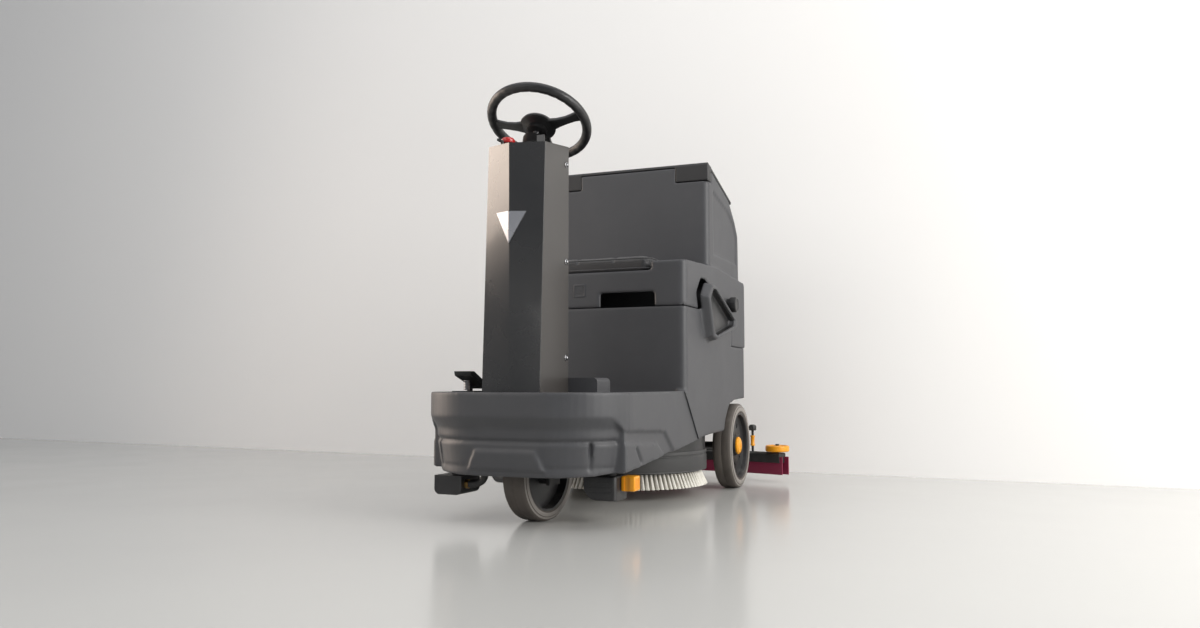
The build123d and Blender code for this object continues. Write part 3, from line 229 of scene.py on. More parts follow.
def scuff_group():
    """Short fine rub marks."""
    group, entry, leave = new_group("rub_marks", [("Amount", 0.5), ("Size", 14.0)], ["Mask"])
    place = add(group, "ShaderNodeTexCoord")
    stretch = add(group, "ShaderNodeMapping")
    stretch.inputs["Rotation"].default_value = (0.3, 0.2, 0.5)
    stretch.inputs["Scale"].default_value = (1.0, 9.0, 16.0)
    wire(group, place.outputs["Object"], stretch.inputs["Vector"])
    marks = add(group, "ShaderNodeTexNoise", {"Detail": 8.0, "Roughness": 0.7, "Distortion": 0.6})
    wire(group, stretch.outputs[0], marks.inputs["Vector"])
    wire(group, entry.outputs["Size"], marks.inputs["Scale"])
    thin = add(group, "ShaderNodeMapRange", {"From Min": 0.62, "From Max": 0.78})
    wire(group, marks.outputs["Fac"], thin.inputs["Value"])
    scaled = add(group, "ShaderNodeMath", operation="MULTIPLY")
    wire(group, thin.outputs[0], scaled.inputs[0])
    wire(group, entry.outputs["Amount"], scaled.inputs[1])
    wire(group, scaled.outputs[0], leave.inputs["Mask"])
    return group


GRAIN, DUST, SCUFF = grain_group(), dust_group(), scuff_group()


def placed(tree, group, **values):
    node = tree.nodes.new("ShaderNodeGroup")
    node.node_tree = group
    for key, value in values.items():
        node.inputs[key].default_value = value
    return node


def finish_of(name, colour, tone, rough, metal=0.0, grain=900.0, depth=0.06, dust=0.3, rub=0.25,
              spread=0.1, coat=0.0, rub_colour=None, cloud=5.0):
    """A material: base colour that drifts to `tone`, moulded grain, settled dust and rub marks."""
    material = bpy.data.materials.new(name)
    material.use_nodes = True
    tree = material.node_tree
    shader = tree.nodes["Principled BSDF"]
    shader.inputs["Metallic"].default_value = metal
    shader.inputs["Coat Weight"].default_value = coat
    if coat:
        shader.inputs["Coat Roughness"].default_value = 0.12
    grained = placed(tree, GRAIN, Size=grain, Cloud=cloud)
    dusty = placed(tree, DUST, Amount=dust)
    rubbed = placed(tree, SCUFF, Amount=rub)
    drift = add(tree, "ShaderNodeMapRange", {"From Min": 0.3, "From Max": 0.7})
    wire(tree, grained.outputs["Tone"], drift.inputs["Value"])
    base = add(tree, "ShaderNodeMix", data_type="RGBA")
    base.inputs["A"].default_value = (*colour, 1)
    base.inputs["B"].default_value = (*tone, 1)
    wire(tree, drift.outputs[0], base.inputs["Factor"])
    worn = add(tree, "ShaderNodeMix", data_type="RGBA")
    worn.inputs["B"].default_value = (*(rub_colour or [min(1, c * 1.9 + 0.02) for c in colour]), 1)
    wire(tree, rubbed.outputs["Mask"], worn.inputs["Factor"])
    wire(tree, base.outputs["Result"], worn.inputs["A"])
    dusted = add(tree, "ShaderNodeMix", data_type="RGBA")
    dusted.inputs["B"].default_value = (0.34, 0.33, 0.31, 1)
    wire(tree, dusty.outputs["Mask"], dusted.inputs["Factor"])
    wire(tree, worn.outputs["Result"], dusted.inputs["A"])
    wire(tree, dusted.outputs["Result"], shader.inputs["Base Color"])
    satin = add(tree, "ShaderNodeMapRange", {"From Min": 0.25, "From Max": 0.75,
                                             "To Min": rough - spread, "To Max": rough + spread})
    wire(tree, grained.outputs["Tone"], satin.inputs["Value"])
    rougher = add(tree, "ShaderNodeMath", operation="ADD", use_clamp=True)
    wire(tree, satin.outputs[0], rougher.inputs[0])
    wire(tree, dusty.outputs["Mask"], rougher.inputs[1])
    wire(tree, rougher.outputs[0], shader.inputs["Roughness"])
    bump = add(tree, "ShaderNodeBump", {"Strength": depth, "Distance": 0.002})
    wire(tree, grained.outputs["Height"], bump.inputs["Height"])
    wire(tree, bump.outputs["Normal"], shader.inputs["Normal"])
    return material


def straight_grain(material, scale, strength, distance=0.0006):
    """Brushed or woven lines laid over a finish, as extra height in its bump."""
    tree = material.node_tree
    bump = next(n for n in tree.nodes if n.type == "BUMP")
    place = add(tree, "ShaderNodeTexCoord")
    turn = add(tree, "ShaderNodeMapping")
    turn.inputs["Scale"].default_value = scale
    wire(tree, place.outputs["Object"], turn.inputs["Vector"])
    lines = add(tree, "ShaderNodeTexNoise", {"Scale": 1.0, "Detail": 3.0, "Roughness": 0.6})
    wire(tree, turn.outputs[0], lines.inputs["Vector"])
    second = add(tree, "ShaderNodeBump", {"Strength": strength, "Distance": distance})
    wire(tree, lines.outputs["Fac"], second.inputs["Height"])
    wire(tree, bump.outputs["Normal"], second.inputs["Normal"])
    wire(tree, second.outputs["Normal"], tree.nodes["Principled BSDF"].inputs["Normal"])
    return material


def leather_finish():
    """Black vinyl with a pebbled grain and a soft sheen."""
    material = finish_of("seat_vinyl", (0.022, 0.022, 0.024), (0.03, 0.03, 0.033), 0.5, grain=420.0,
                         depth=0.35, dust=0.12, rub=0.1)
    tree = material.node_tree
    bump = next(n for n in tree.nodes if n.type == "BUMP")
    place = add(tree, "ShaderNodeTexCoord")
    pebble = add(tree, "ShaderNodeTexVoronoi", {"Scale": 260.0}, feature="DISTANCE_TO_EDGE")
    wire(tree, place.outputs["Object"], pebble.inputs["Vector"])
    crease = add(tree, "ShaderNodeMapRange", {"From Min": 0.0, "From Max": 0.12})
    wire(tree, pebble.outputs["Distance"], crease.inputs["Value"])
    second = add(tree, "ShaderNodeBump", {"Strength": 0.35, "Distance": 0.0006})
    wire(tree, crease.outputs[0], second.inputs["Height"])
    wire(tree, bump.outputs["Normal"], second.inputs["Normal"])
    wire(tree, second.outputs["Normal"], tree.nodes["Principled BSDF"].inputs["Normal"])
    tree.nodes["Principled BSDF"].inputs["Sheen Weight"].default_value = 0.15
    return material


FINISH = {
    "body_plastic": finish_of("slate_moulding", (0.047, 0.048, 0.053), (0.056, 0.057, 0.062), 0.5,
                              grain=620.0, depth=0.16, dust=0.22, rub=0.16, spread=0.06),
    "lid_plastic": finish_of("lid_moulding", (0.014, 0.014, 0.015), (0.02, 0.02, 0.021), 0.5,
                             grain=700.0, depth=0.12, dust=0.08),
    "black_plastic": finish_of("black_moulding", (0.011, 0.011, 0.012), (0.017, 0.017, 0.018), 0.4,
                               grain=800.0, depth=0.12),
    "mat_rubber": finish_of("mat_rubber", (0.012, 0.012, 0.012), (0.022, 0.021, 0.02), 0.72,
                            grain=500.0, depth=0.2, dust=0.6, rub=0.3),
    "column_paint": finish_of("satin_black_paint", (0.0095, 0.0095, 0.01), (0.013, 0.0125, 0.0125), 0.27,
                              grain=1500.0, depth=0.07, dust=0.1, rub=0.12, spread=0.05, coat=0.6),
    "column_side_paint": finish_of("warm_gray_paint", (0.034, 0.031, 0.029), (0.043, 0.039, 0.036), 0.36,
                                   grain=1500.0, depth=0.07, dust=0.1, rub=0.12, spread=0.05, coat=0.1),
    "frame_paint": finish_of("frame_paint", (0.016, 0.016, 0.017), (0.028, 0.027, 0.027), 0.5,
                             dust=0.5, rub=0.35, rub_colour=(0.2, 0.19, 0.18)),
    "housing_paint": finish_of("deck_paint", (0.012, 0.012, 0.013), (0.02, 0.02, 0.021), 0.45,
                               dust=0.45, rub=0.3),
    "band_plastic": finish_of("splash_rubber", (0.035, 0.035, 0.036), (0.05, 0.05, 0.05), 0.55,
                              dust=0.4, rub=0.3),
    "steel": straight_grain(finish_of("machined_steel", (0.52, 0.52, 0.53), (0.42, 0.42, 0.43), 0.3,
                                      metal=1.0, dust=0.2, rub=0.3), (40, 40, 1800), 0.3),
    "chrome": finish_of("bright_chrome", (0.3, 0.3, 0.31), (0.24, 0.24, 0.25), 0.2, metal=1.0,
                        dust=0.05, rub=0.15, spread=0.04, depth=0.02),
    "badge_metal": straight_grain(finish_of("badge_aluminium", (0.46, 0.46, 0.48), (0.38, 0.38, 0.4), 0.3,
                                            metal=1.0, dust=0.05, rub=0.1), (900, 40, 40), 0.25),
    "brass": finish_of("brass", (0.55, 0.36, 0.13), (0.42, 0.26, 0.1), 0.32, metal=1.0, dust=0.2),
    "motor_metal": finish_of("cast_metal", (0.28, 0.28, 0.29), (0.2, 0.2, 0.21), 0.45, metal=1.0,
                             grain=400.0, depth=0.3, dust=0.3),
    "battery_case": finish_of("battery_case", (0.013, 0.013, 0.015), (0.022, 0.022, 0.024), 0.5, dust=0.4),
    "hose_rubber": finish_of("hose_rubber", (0.01, 0.01, 0.01), (0.018, 0.018, 0.018), 0.5, dust=0.3),
    "yellow_plastic": finish_of("yellow_moulding", (0.86, 0.36, 0.008), (0.8, 0.32, 0.008), 0.33,
                                grain=1100.0, depth=0.08, dust=0.14, rub=0.14, spread=0.05,
                                rub_colour=(0.9, 0.52, 0.1)),
    "post_plastic": finish_of("post_plastic", (0.013, 0.013, 0.013), (0.02, 0.02, 0.02), 0.42, dust=0.2),
    "tyre_rubber": finish_of("tyre_rubber", (0.062, 0.052, 0.044), (0.083, 0.071, 0.061), 0.72,
                             grain=380.0, depth=0.3, dust=0.5, rub=0.5, cloud=16.0,
                             rub_colour=(0.14, 0.125, 0.11)),
    "rim_plastic": finish_of("rim_plastic", (0.009, 0.009, 0.01), (0.014, 0.014, 0.015), 0.42, dust=0.3),
    "wheel_grip": finish_of("wheel_grip", (0.008, 0.008, 0.0085), (0.012, 0.012, 0.013), 0.36,
                            grain=1000.0, depth=0.2, dust=0.05, rub=0.12),
    "seat_leather": leather_finish(),
    "bristle": finish_of("bristle", (0.74, 0.72, 0.66), (0.6, 0.57, 0.5), 0.6, dust=0.2, rub=0.1, cloud=60.0),
    "blade_rubber": finish_of("blade_rubber", (0.27, 0.014, 0.06), (0.2, 0.012, 0.045), 0.5, dust=0.25,
                              rub=0.15),
    "key_metal": finish_of("key_metal", (0.1, 0.1, 0.1), (0.07, 0.07, 0.07), 0.42, metal=0.6),
    "stop_red": finish_of("stop_red", (0.5, 0.012, 0.01), (0.42, 0.01, 0.009), 0.25, dust=0.05, coat=0.3),
}
SIDEWALL = finish_of("tyre_sidewall", (0.2, 0.185, 0.17), (0.26, 0.24, 0.22), 0.66, grain=420.0,
                     depth=0.2, dust=0.3, rub=0.4, cloud=16.0)

for part in frame["record"]["subparts"]:
    if part["node"] in nodes:
        mesh = nodes[part["node"]].data
        mesh.materials.clear()
        mesh.materials.append(FINISH[part["material_slot"]])
        for face in mesh.polygons:
            face.material_index = 0


# ---------------------------------------------------------------- modelling by hand
def clear():
    if bpy.context.object and bpy.context.object.mode != "OBJECT":
        bpy.ops.object.mode_set(mode="OBJECT")
    bpy.ops.object.select_all(action="DESELECT")


def only(piece):
    clear()
    piece.select_set(True)
    bpy.context.view_layer.objects.active = piece


def settled(name):
    """The new primitive, with its place in its mesh."""
    piece = bpy.context.object
    only(piece)
    bpy.ops.object.transform_apply(location=True, rotation=True, scale=True)
    piece.name = name
    return piece


def turned(piece, turn, place):
    """Turns a piece that is modelled round the origin, and sets it down at its place."""
    piece.location = -at(0, 0, 0)
    only(piece)
    bpy.ops.object.transform_apply(location=True, rotation=True, scale=True)
    piece.rotation_euler = turn
    piece.location = at(*place)
    bpy.ops.object.transform_apply(location=True, rotation=True, scale=True)
    return piece


def block(name, x, y, z):
    clear()
    low, high = at(x[0], y[0], z[0]), at(x[1], y[1], z[1])
    bpy.ops.mesh.primitive_cube_add(size=1, location=(low + high) / 2, scale=high - low)
    return settled(name)


TURN = {"X": (0, math.pi / 2, 0), "Y": (math.pi / 2, 0, 0), "Z": (0, 0, 0)}


def disc(name, centre, radius, depth, axis="Z", sides=64):
    clear()
    bpy.ops.mesh.primitive_cylinder_add(vertices=sides, radius=radius / 1000, depth=depth / 1000,
                                        location=at(*centre), rotation=TURN[axis])
    return settled(name)


def pick(piece, kind, test):
    """Edit mode, with the faces or edges that the test takes selected. It is given the middle in
    millimetres and the face or edge itself."""
    only(piece)
    bpy.ops.object.mode_set(mode="EDIT")
    bpy.ops.mesh.select_mode(type=kind)
    bpy.ops.mesh.select_all(action="DESELECT")
    mesh = bmesh.from_edit_mesh(piece.data)
    for item in list(mesh.faces if kind == "FACE" else mesh.edges):
        corners = [v.co for v in item.verts]
        item.select_set(bool(test(corner_mm(sum(corners, Vector()) / len(corners)), item)))
    mesh.select_flush_mode()
    bmesh.update_edit_mesh(piece.data)


def run_of(edge):
    return (edge.verts[1].co - edge.verts[0].co).normalized()


def round_edges(piece, test, width, steps=4):
    pick(piece, "EDGE", test)
    bpy.ops.mesh.bevel(offset=width / 1000, segments=steps, affect="EDGES", clamp_overlap=True)
    clear()
    return piece


def traced(name, points, closed=False):
    """A wire drawn corner by corner, left in edit mode."""
    clear()
    bpy.ops.mesh.primitive_plane_add(size=0.01, location=at(*points[0]))
    piece = settled(name)
    bpy.ops.object.mode_set(mode="EDIT")
    bpy.ops.mesh.select_mode(type="VERT")
    bpy.ops.mesh.select_all(action="SELECT")
    bpy.ops.mesh.merge(type="CENTER")
    ends = points[1:] + points[:1] if closed else points[1:]
    for a, b in zip(points, ends):
        bpy.ops.mesh.extrude_region_move(TRANSFORM_OT_translate={"value": (Vector(b) - Vector(a)) / 1000})
    bpy.ops.mesh.select_all(action="SELECT")
    return piece


def spun(steps, angle, centre, axis):
    """Spins what is selected, closes its seams and turns its faces outwards."""
    bpy.ops.mesh.spin(steps=steps, angle=angle, center=at(*centre), axis=axis)
    bpy.ops.mesh.select_all(action="SELECT")
    bpy.ops.mesh.remove_doubles(threshold=0.00002)
    bpy.ops.mesh.normals_make_consistent(inside=False)
    clear()


def drawn(name, points, pull):
    """A closed outline drawn corner by corner, filled, and pulled out into a solid."""
    piece = traced(name, points)
    bpy.ops.mesh.edge_face_add()
    bpy.ops.mesh.extrude_region_move(TRANSFORM_OT_translate={"value": Vector(pull) / 1000})
    bpy.ops.mesh.select_all(action="SELECT")
    bpy.ops.mesh.normals_make_consistent(inside=False)
    clear()
    return piece


def side_prism(name, outline, x0, x1):
    return drawn(name, [(x0, y, z) for y, z in outline], (x1 - x0, 0, 0))


def plan_prism(name, outline, z0, z1):
    return drawn(name, [(x, y, z0) for x, y in outline], (0, 0, z1 - z0))


def lathe(name, profile, centre, axis="Z", steps=64):
    """A round piece spun from (radius, offset along the axis) points, a closed loop."""
    sideways = {"Z": (1, 0, 0), "X": (0, 0, 1), "Y": (1, 0, 0)}[axis]
    forward = {"Z": (0, 0, 1), "X": (1, 0, 0), "Y": (0, 1, 0)}[axis]
    spots = [Vector(centre) + Vector(sideways) * r + Vector(forward) * h for r, h in profile]
    piece = traced(name, spots, closed=True)
    spun(steps, math.tau, centre, forward)
    return piece


def applied(piece, kind, **settings):
    only(piece)
    modifier = piece.modifiers.new("step", kind)
    for key, value in settings.items():
        setattr(modifier, key, value)
    bpy.ops.object.modifier_apply(modifier="step")
    return piece


def carve(piece, *tools):
    for tool in tools:
        applied(piece, "BOOLEAN", operation="DIFFERENCE", object=tool, solver="EXACT")
        bpy.data.objects.remove(tool)
    return piece


def weld(piece, *tools):
    for tool in tools:
        applied(piece, "BOOLEAN", operation="UNION", object=tool, solver="EXACT")
        bpy.data.objects.remove(tool)
    return piece


def gathered(name, pieces):
    """Separate bodies kept as one object."""
    clear()
    for piece in pieces:
        piece.select_set(True)
    bpy.context.view_layer.objects.active = pieces[0]
    bpy.ops.object.join()
    bpy.context.object.name = name
    return bpy.context.object


def smooth(piece, angle=35):
    only(piece)
    bpy.ops.object.shade_smooth_by_angle(angle=math.radians(angle))
    return piece


def mount(piece, body, slot, *replaced):
    """The finished piece: material, body it rides on, and the CAD nodes that it stands for."""
    if not piece.data.materials:
        piece.data.materials.append(FINISH[slot])
    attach(piece, body)
    if replaced:
        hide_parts(*replaced)
    return piece


def rotomoulded(piece, voxel, passes, most):
    """Turns crisp joined blocks into one skin with the soft edges of a rotational moulding."""
    applied(piece, "REMESH", mode="VOXEL", voxel_size=voxel / 1000, adaptivity=0.0)
    applied(piece, "SMOOTH", factor=0.5, iterations=passes)
    count = sum(len(face.vertices) - 2 for face in piece.data.polygons)
    if count > most:
        applied(piece, "DECIMATE", ratio=most / count)
    only(piece)
    bpy.ops.object.shade_smooth()
    return piece


# ---------------------------------------------------------------- sizes of the mouldings
tank_low, tank_high = node_mm("solution_tank")
NOSE_Y, TAIL_Y = tank_low.y, tank_high.y
HALF_W = -tank_low.x
NOSE_W = HALF_W - 20
TANK_Y = 384
DECK_Z = 350
SEAM_Z = 611
REAR_SEAM_Y, REAR_SEAM_Z = 938, 506
WALL = 9


def side_wall(y):
    """Half width of the lower moulding at one place along it."""
    return min(HALF_W, NOSE_W + (y - NOSE_Y) / (TANK_Y - NOSE_Y) * (HALF_W - NOSE_W))


def nose_prism(name, inset, back, z0, z1, radius):
    """The rounded front of the lower moulding, from its nose to a cross plane."""
    wide = side_wall(back) - inset
    piece = plan_prism(name, [(-NOSE_W + inset, NOSE_Y + inset), (NOSE_W - inset, NOSE_Y + inset),
                              (wide, back), (-wide, back)], z0, z1)
    upright = lambda spot, edge: abs(run_of(edge).z) > 0.9 and spot.y < NOSE_Y + inset + 5
    return round_edges(piece, upright, radius * 0.966, 14)


def pressed_sides(name, outline, depth, back=40):
    """The same outline pressed into both side walls."""
    tools = []
    for side in (-1, 1):
        points = [(side * (side_wall(y) - depth), y, z) for y, z in outline]
        tools.append(drawn(f"{name}_{side}", points, (side * back, 0, 0)))
    return tools


# ---------------------------------------------------------------- lower moulding
def stepped_nose():
    """The nose: a wide rim band, a slope, a second band, a groove, a tapering face and a lip."""
    nose = nose_prism("lower_moulding", 0, -40, 286, DECK_Z, 190)
    level, inset = 286, 0
    hinge = at(0, -40, 0)
    for z, deeper in ((256, 17), (232, 18), (229, 25), (221, 25), (218, 19), (163, 27), (159, 32),
                      (154, 29), (138, 29), (130, 34)):
        pick(nose, "FACE", lambda spot, face: face.normal.z < -0.9 and abs(spot.z - level) < 1)
        bpy.ops.mesh.extrude_region_move(TRANSFORM_OT_translate={"value": (0, 0, (z - level) / 1000)})
        across = (NOSE_W - deeper) / (NOSE_W - inset)
        along = (-40 - NOSE_Y - deeper) / (-40 - NOSE_Y - inset)
        bpy.ops.transform.resize(value=(across, along, 1), center_override=hinge)
        clear()
        level, inset = z, deeper
    return nose


def lower_moulding():
    body = stepped_nose()
    deck = nose_prism("deck", 0, TANK_Y + 20, 130, DECK_Z, 190)
    carve(deck, side_prism("deck_front", [(NOSE_Y - 20, 286), (-128, 286), (-83, 251), (-83, 90),
                                          (NOSE_Y - 20, 90)], -400, 400))
    tank = block("tank", (-HALF_W, HALF_W), (TANK_Y, TAIL_Y), (130, SEAM_Z - 1.5))
    round_edges(tank, lambda spot, edge: abs(run_of(edge).z) > 0.9 and spot.y > TAIL_Y - 1, 70, 10)
    round_edges(tank, lambda spot, edge: abs(run_of(edge).z) > 0.9 and spot.y < TANK_Y + 1, 20, 4)
    weld(body, deck, tank)
    plate = [(-86, NOSE_Y + 15, 199), (86, NOSE_Y + 15, 199), (108, NOSE_Y + 21, 152),
             (-108, NOSE_Y + 21, 152)]
    weld(body, drawn("front_plate", plate, (0, 40, 0)))
    skirt_edge = [(NOSE_Y - 20, -10), (NOSE_Y - 20, 130), (-130, 138), (600, 205), (830, 210), (850, 250),
                  (905, 300), (1000, 314), (TAIL_Y + 20, 320), (TAIL_Y + 20, -10)]
    carve(body, side_prism("skirt_edge", skirt_edge, -400, 400))
    arch_low, arch_high = node_mm("rear_tyre_left")
    arch_r = (arch_high.z - arch_low.z) / 2 + 14
    middle_y, middle_z = (arch_low.y + arch_high.y) / 2, (arch_low.z + arch_high.z) / 2
    for side in (-1, 1):
        carve(body, disc("arch", (side * 325, middle_y, middle_z), arch_r, 200, "X", 72))
    carve(body, block("rear_step", (-400, 400), (REAR_SEAM_Y, TAIL_Y + 20), (REAR_SEAM_Z - 1.5, 700)))
    carve(body, nose_prism("well", 28, TANK_Y - 0.5, 328, DECK_Z + 20, 162))
    carve(body, nose_prism("nose_room", 60, -50, 60, 316, 128))
    wide = side_wall(-60) - 24
    carve(body, plan_prism("deck_room", [(-wide, -60), (wide, -60), (HALF_W - 22, TANK_Y + 160),
                                         (-HALF_W + 22, TANK_Y + 160)], 60, 316))
    carve(body, block("under_room", (-HALF_W + WALL, HALF_W - WALL), (TANK_Y + 155, 1168), (60, 316)))
    carve(body, disc("stem_hole", (0, 0, 320), 32, 60, "Z", 40))
    carve(body, block("battery_bay", (-206, 206), (402, 930), (328, 700)))
    for side in (-1, 1):
        inner = sorted((side * 222, side * (HALF_W - WALL - 22)))
        carve(body, block("side_cell", inner, (408, 924), (336, 596)))
    carve(body, *pressed_sides("chevron", [(-100, 252), (201, 238), (274, 180), (262, 90), (-100, 90)], 8))
    panel = [(-80, 217), (147, 204), (214, 162), (205, 120), (-80, 120)]
    for pad in pressed_sides("inner_panel", panel, 12, 9):
        weld(body, pad)
    carve(body, side_prism("skirt_edge", skirt_edge, -400, 400))
    carve(body, *pressed_sides("slot", [(-22, 207), (-2, 207), (40, 160), (20, 160)], 10))
    for side in (-1, 1):
        notch = block("notch", (-5, 5), (-14, 14), (150, 224))
        reach, rise = 172 * math.cos(math.radians(44)), 172 * math.sin(math.radians(44))
        turned(notch, (0, 0, side * math.radians(46)), (side * (96 + reach), -32 - rise, 0))
        carve(body, notch)
    return body


# ---------------------------------------------------------------- filling scoop on the left side
SCOOP = [(512, 655), (560, 704), (606, 706), (938, 590), (925, 562), (628, 503), (575, 514)]


def scoop(name, x0, x1, grow, flare):
    """A leaf-shaped boss on the side wall, smaller at its outer face."""
    middle_y = sum(y for y, z in SCOOP) / len(SCOOP)
    middle_z = sum(z for y, z in SCOOP) / len(SCOOP)
    outline = [(x0, middle_y + (y - middle_y) * grow, middle_z + (z - middle_z) * grow) for y, z in SCOOP]
    piece = drawn(name, outline, (x1 - x0, 0, 0))
    pick(piece, "FACE", lambda spot, face: spot.x > x1 - 1)
    bpy.ops.transform.resize(value=(1, flare, flare), center_override=at(0, middle_y, middle_z))
    clear()
    return piece


lower = lower_moulding()
boss = scoop("boss", HALF_W - 24, HALF_W + 33, 1.0, 0.86)
carve(boss, block("keep_off", (0, HALF_W + 1), (0, 1200), (SEAM_Z - 1, 900)))
weld(lower, boss)
carve(lower, scoop("pocket", HALF_W + 6, HALF_W + 60, 0.72, 1.06))
rotomoulded(lower, 4.2, 4, 195000)
carve(lower, *pressed_sides("slash", [(232, DECK_Z + 10), (362, DECK_Z + 10), (528, 186), (386, 186)], 4))
smooth(lower, 35)
mount(lower, "chassis", "body_plastic", "solution_tank")

lining = scoop("funnel_lining", HALF_W + 5, HALF_W + 25, 0.735, 1.02)
pick(lining, "FACE", lambda spot, face: spot.x > HALF_W + 24)
bpy.ops.mesh.inset(thickness=0.004)
bpy.ops.mesh.extrude_region_move(TRANSFORM_OT_translate={"value": (-0.017, 0, 0)})
clear()
round_edges(lining, lambda spot, edge: abs(run_of(edge).x) > 0.5 and spot.x > HALF_W + 6, 4, 3)
mount(smooth(lining), "chassis", "black_plastic")

# ---------------------------------------------------------------- upper moulding
SEAT_Z = 752
BACK_Y = 694
BACK_W = 292
TOP_Z, TOP_REAR_Y, TOP_REAR_Z = 1112, 1010, 1030
EAR_X = 176


def upper_moulding():
    body_side = [(TANK_Y, REAR_SEAM_Z), (TANK_Y, SEAT_Z), (BACK_Y, SEAT_Z + 14), (BACK_Y + 80, SEAT_Z + 14),
                 (TAIL_Y - 50, 752), (TAIL_Y, 715), (TAIL_Y, REAR_SEAM_Z)]
    base = side_prism("upper_moulding", body_side, -HALF_W, HALF_W)
    round_edges(base, lambda spot, edge: abs(run_of(edge).z) > 0.9 and spot.y > TAIL_Y - 1, 68, 10)
    round_edges(base, lambda spot, edge: abs(run_of(edge).z) > 0.9 and spot.y < TANK_Y + 1, 22, 5)
    back_side = [(BACK_Y, 730), (BACK_Y, TOP_Z), (TOP_REAR_Y, TOP_REAR_Z), (TOP_REAR_Y + 60, 985),
                 (TAIL_Y - 62, 930), (TAIL_Y - 56, 730)]
    rest = side_prism("backrest", back_side, -BACK_W, BACK_W)
    round_edges(rest, lambda spot, edge: abs(run_of(edge).z) > 0.9 and spot.y < BACK_Y + 1, 20, 5)
    round_edges(rest, lambda spot, edge: abs(run_of(edge).x) < 0.4 and abs(spot.x) > BACK_W - 1
                and spot.y > TOP_REAR_Y + 5, 22, 5)
    weld(base, rest)
    carve(base, block("front_step", (-400, 400), (300, REAR_SEAM_Y + 1.5), (400, SEAM_Z)))
    carve(base, block("seat_well", (-194, 194), (TANK_Y - 10, BACK_Y), (724, 800)))
    inside = (-HALF_W + WALL, HALF_W - WALL)
    carve(base, block("seat_room", inside, (TANK_Y + WALL, BACK_Y - 8), (REAR_SEAM_Z, 714)))
    carve(base, block("rear_room", (-270, 270), (REAR_SEAM_Y + 11, TAIL_Y - 30), (400, 632)))
    tank_room = [(BACK_Y + WALL, 641), (BACK_Y + WALL, TOP_Z - 32), (TOP_REAR_Y - 30, TOP_REAR_Z - 24),
                 (TOP_REAR_Y + 18, 968), (TAIL_Y - 77, 912), (TAIL_Y - 74, 641)]
    carve(base, side_prism("tank_room", tank_room, -BACK_W + WALL, BACK_W - WALL))
    carve(base, block("mouth", (-210, 210), (750, 960), (900, 1300)))
    for side in (-1, 1):
        ear = sorted((side * (EAR_X - 1), side * 400))
        carve(base, block("ear_notch", ear, (BACK_Y - 20, BACK_Y + 47), (TOP_Z - 53, 1300)))
        panel = [(side * (BACK_W - 5), y, z) for y, z in ((756, 1036), (764, 812), (1082, 812), (1088, 912),
                                                          (1044, 966), (960, 1000))]
        carve(base, drawn("side_panel", panel, (side * 30, 0, 0)))
        carve(base, block("rear_panel", (side * 120 - 84, side * 120 + 84), (TAIL_Y - 64, TAIL_Y - 20),
                          (790, 905)))
    grip = [(22, TANK_Y - 6), (206, TANK_Y - 6), (197, TANK_Y + 40), (31, TANK_Y + 40)]
    carve(base, plan_prism("hand_grip", grip, SEAM_Z - 8, 656))
    for z in (540, 566, 592):
        carve(base, block("rear_rib", (-190, -90), (TAIL_Y - 4, TAIL_Y + 8), (z, z + 12)))
        carve(base, block("rear_rib", (110, 190), (TAIL_Y - 4, TAIL_Y + 8), (z, z + 12)))
    carve(base, scoop("scoop_room", HALF_W - 15, HALF_W + 60, 1.06, 1.0))
    return base


upper = upper_moulding()
rotomoulded(upper, 4.6, 4, 195000)
mount(upper, "upper_body", "body_plastic", "recovery_tank")


def embossed_square():
    """A plain raised frame on the front of the seat box."""
    frame_piece = block("embossed_square", (-68, -26), (TANK_Y - 1.4, TANK_Y + 2), (646, 688))
    round_edges(frame_piece, lambda spot, edge: abs(run_of(edge).y) > 0.9, 6, 5)
    carve(frame_piece, block("inner_square", (-62, -32), (TANK_Y - 6, TANK_Y + 6), (652, 682)))
    round_edges(frame_piece, lambda spot, edge: spot.y < TANK_Y - 1 and abs(run_of(edge).y) < 0.2, 0.6, 2)
    for level in (660, 670):
        weld(frame_piece, block("bar", (-56, -38), (TANK_Y - 1.2, TANK_Y + 2), (level, level + 4)))
    return smooth(frame_piece, 40)


mount(embossed_square(), "upper_body", "body_plastic")


# ---------------------------------------------------------------- tank lid
def tank_lid():
    """The sloping lid, with two front ears, three shallow panels and its hinge knuckles."""
    rise = (TOP_REAR_Z - TOP_Z) / (TOP_REAR_Y - BACK_Y)
    plate = [(BACK_Y, TOP_Z + 1), (TOP_REAR_Y, TOP_REAR_Z + 1), (TOP_REAR_Y, TOP_REAR_Z + 11.5),
             (BACK_Y + 5, TOP_Z + 11.5)]
    lid = side_prism("tank_lid_shell", plate, -BACK_W + 0.5, BACK_W - 0.5)
    for side in (-1, 1):
        ear = sorted((side * EAR_X, side * (BACK_W - 0.5)))
        weld(lid, block("ear", ear, (BACK_Y + 0.5, BACK_Y + 45), (TOP_Z - 51, TOP_Z + 4)))
    for x in (-150, 0, 150):
        groove = side_prism("groove", [(740, TOP_Z + 9 + 46 * rise), (975, TOP_Z + 9 + 281 * rise),
                                       (975, TOP_Z + 40 + 281 * rise), (740, TOP_Z + 40 + 46 * rise)],
                            x - 62, x + 62)
        carve(lid, groove)
    for side in (-1, 1):
        knuckle = sorted((side * 104, side * 119))
        weld(lid, block("knuckle", knuckle, (TOP_REAR_Y - 20, TOP_REAR_Y + 22), (1038, 1050)))
    return rotomoulded(lid, 2.4, 2, 120000)


mount(tank_lid(), "lid", "lid_plastic", "tank_lid")
pins = [disc("lid_pin", (side * 127, TOP_REAR_Y + 18, 1044), 4, 46, "X", 24) for side in (-1, 1)]
mount(smooth(gathered("lid_hinge_pins", pins)), "lid", "steel")


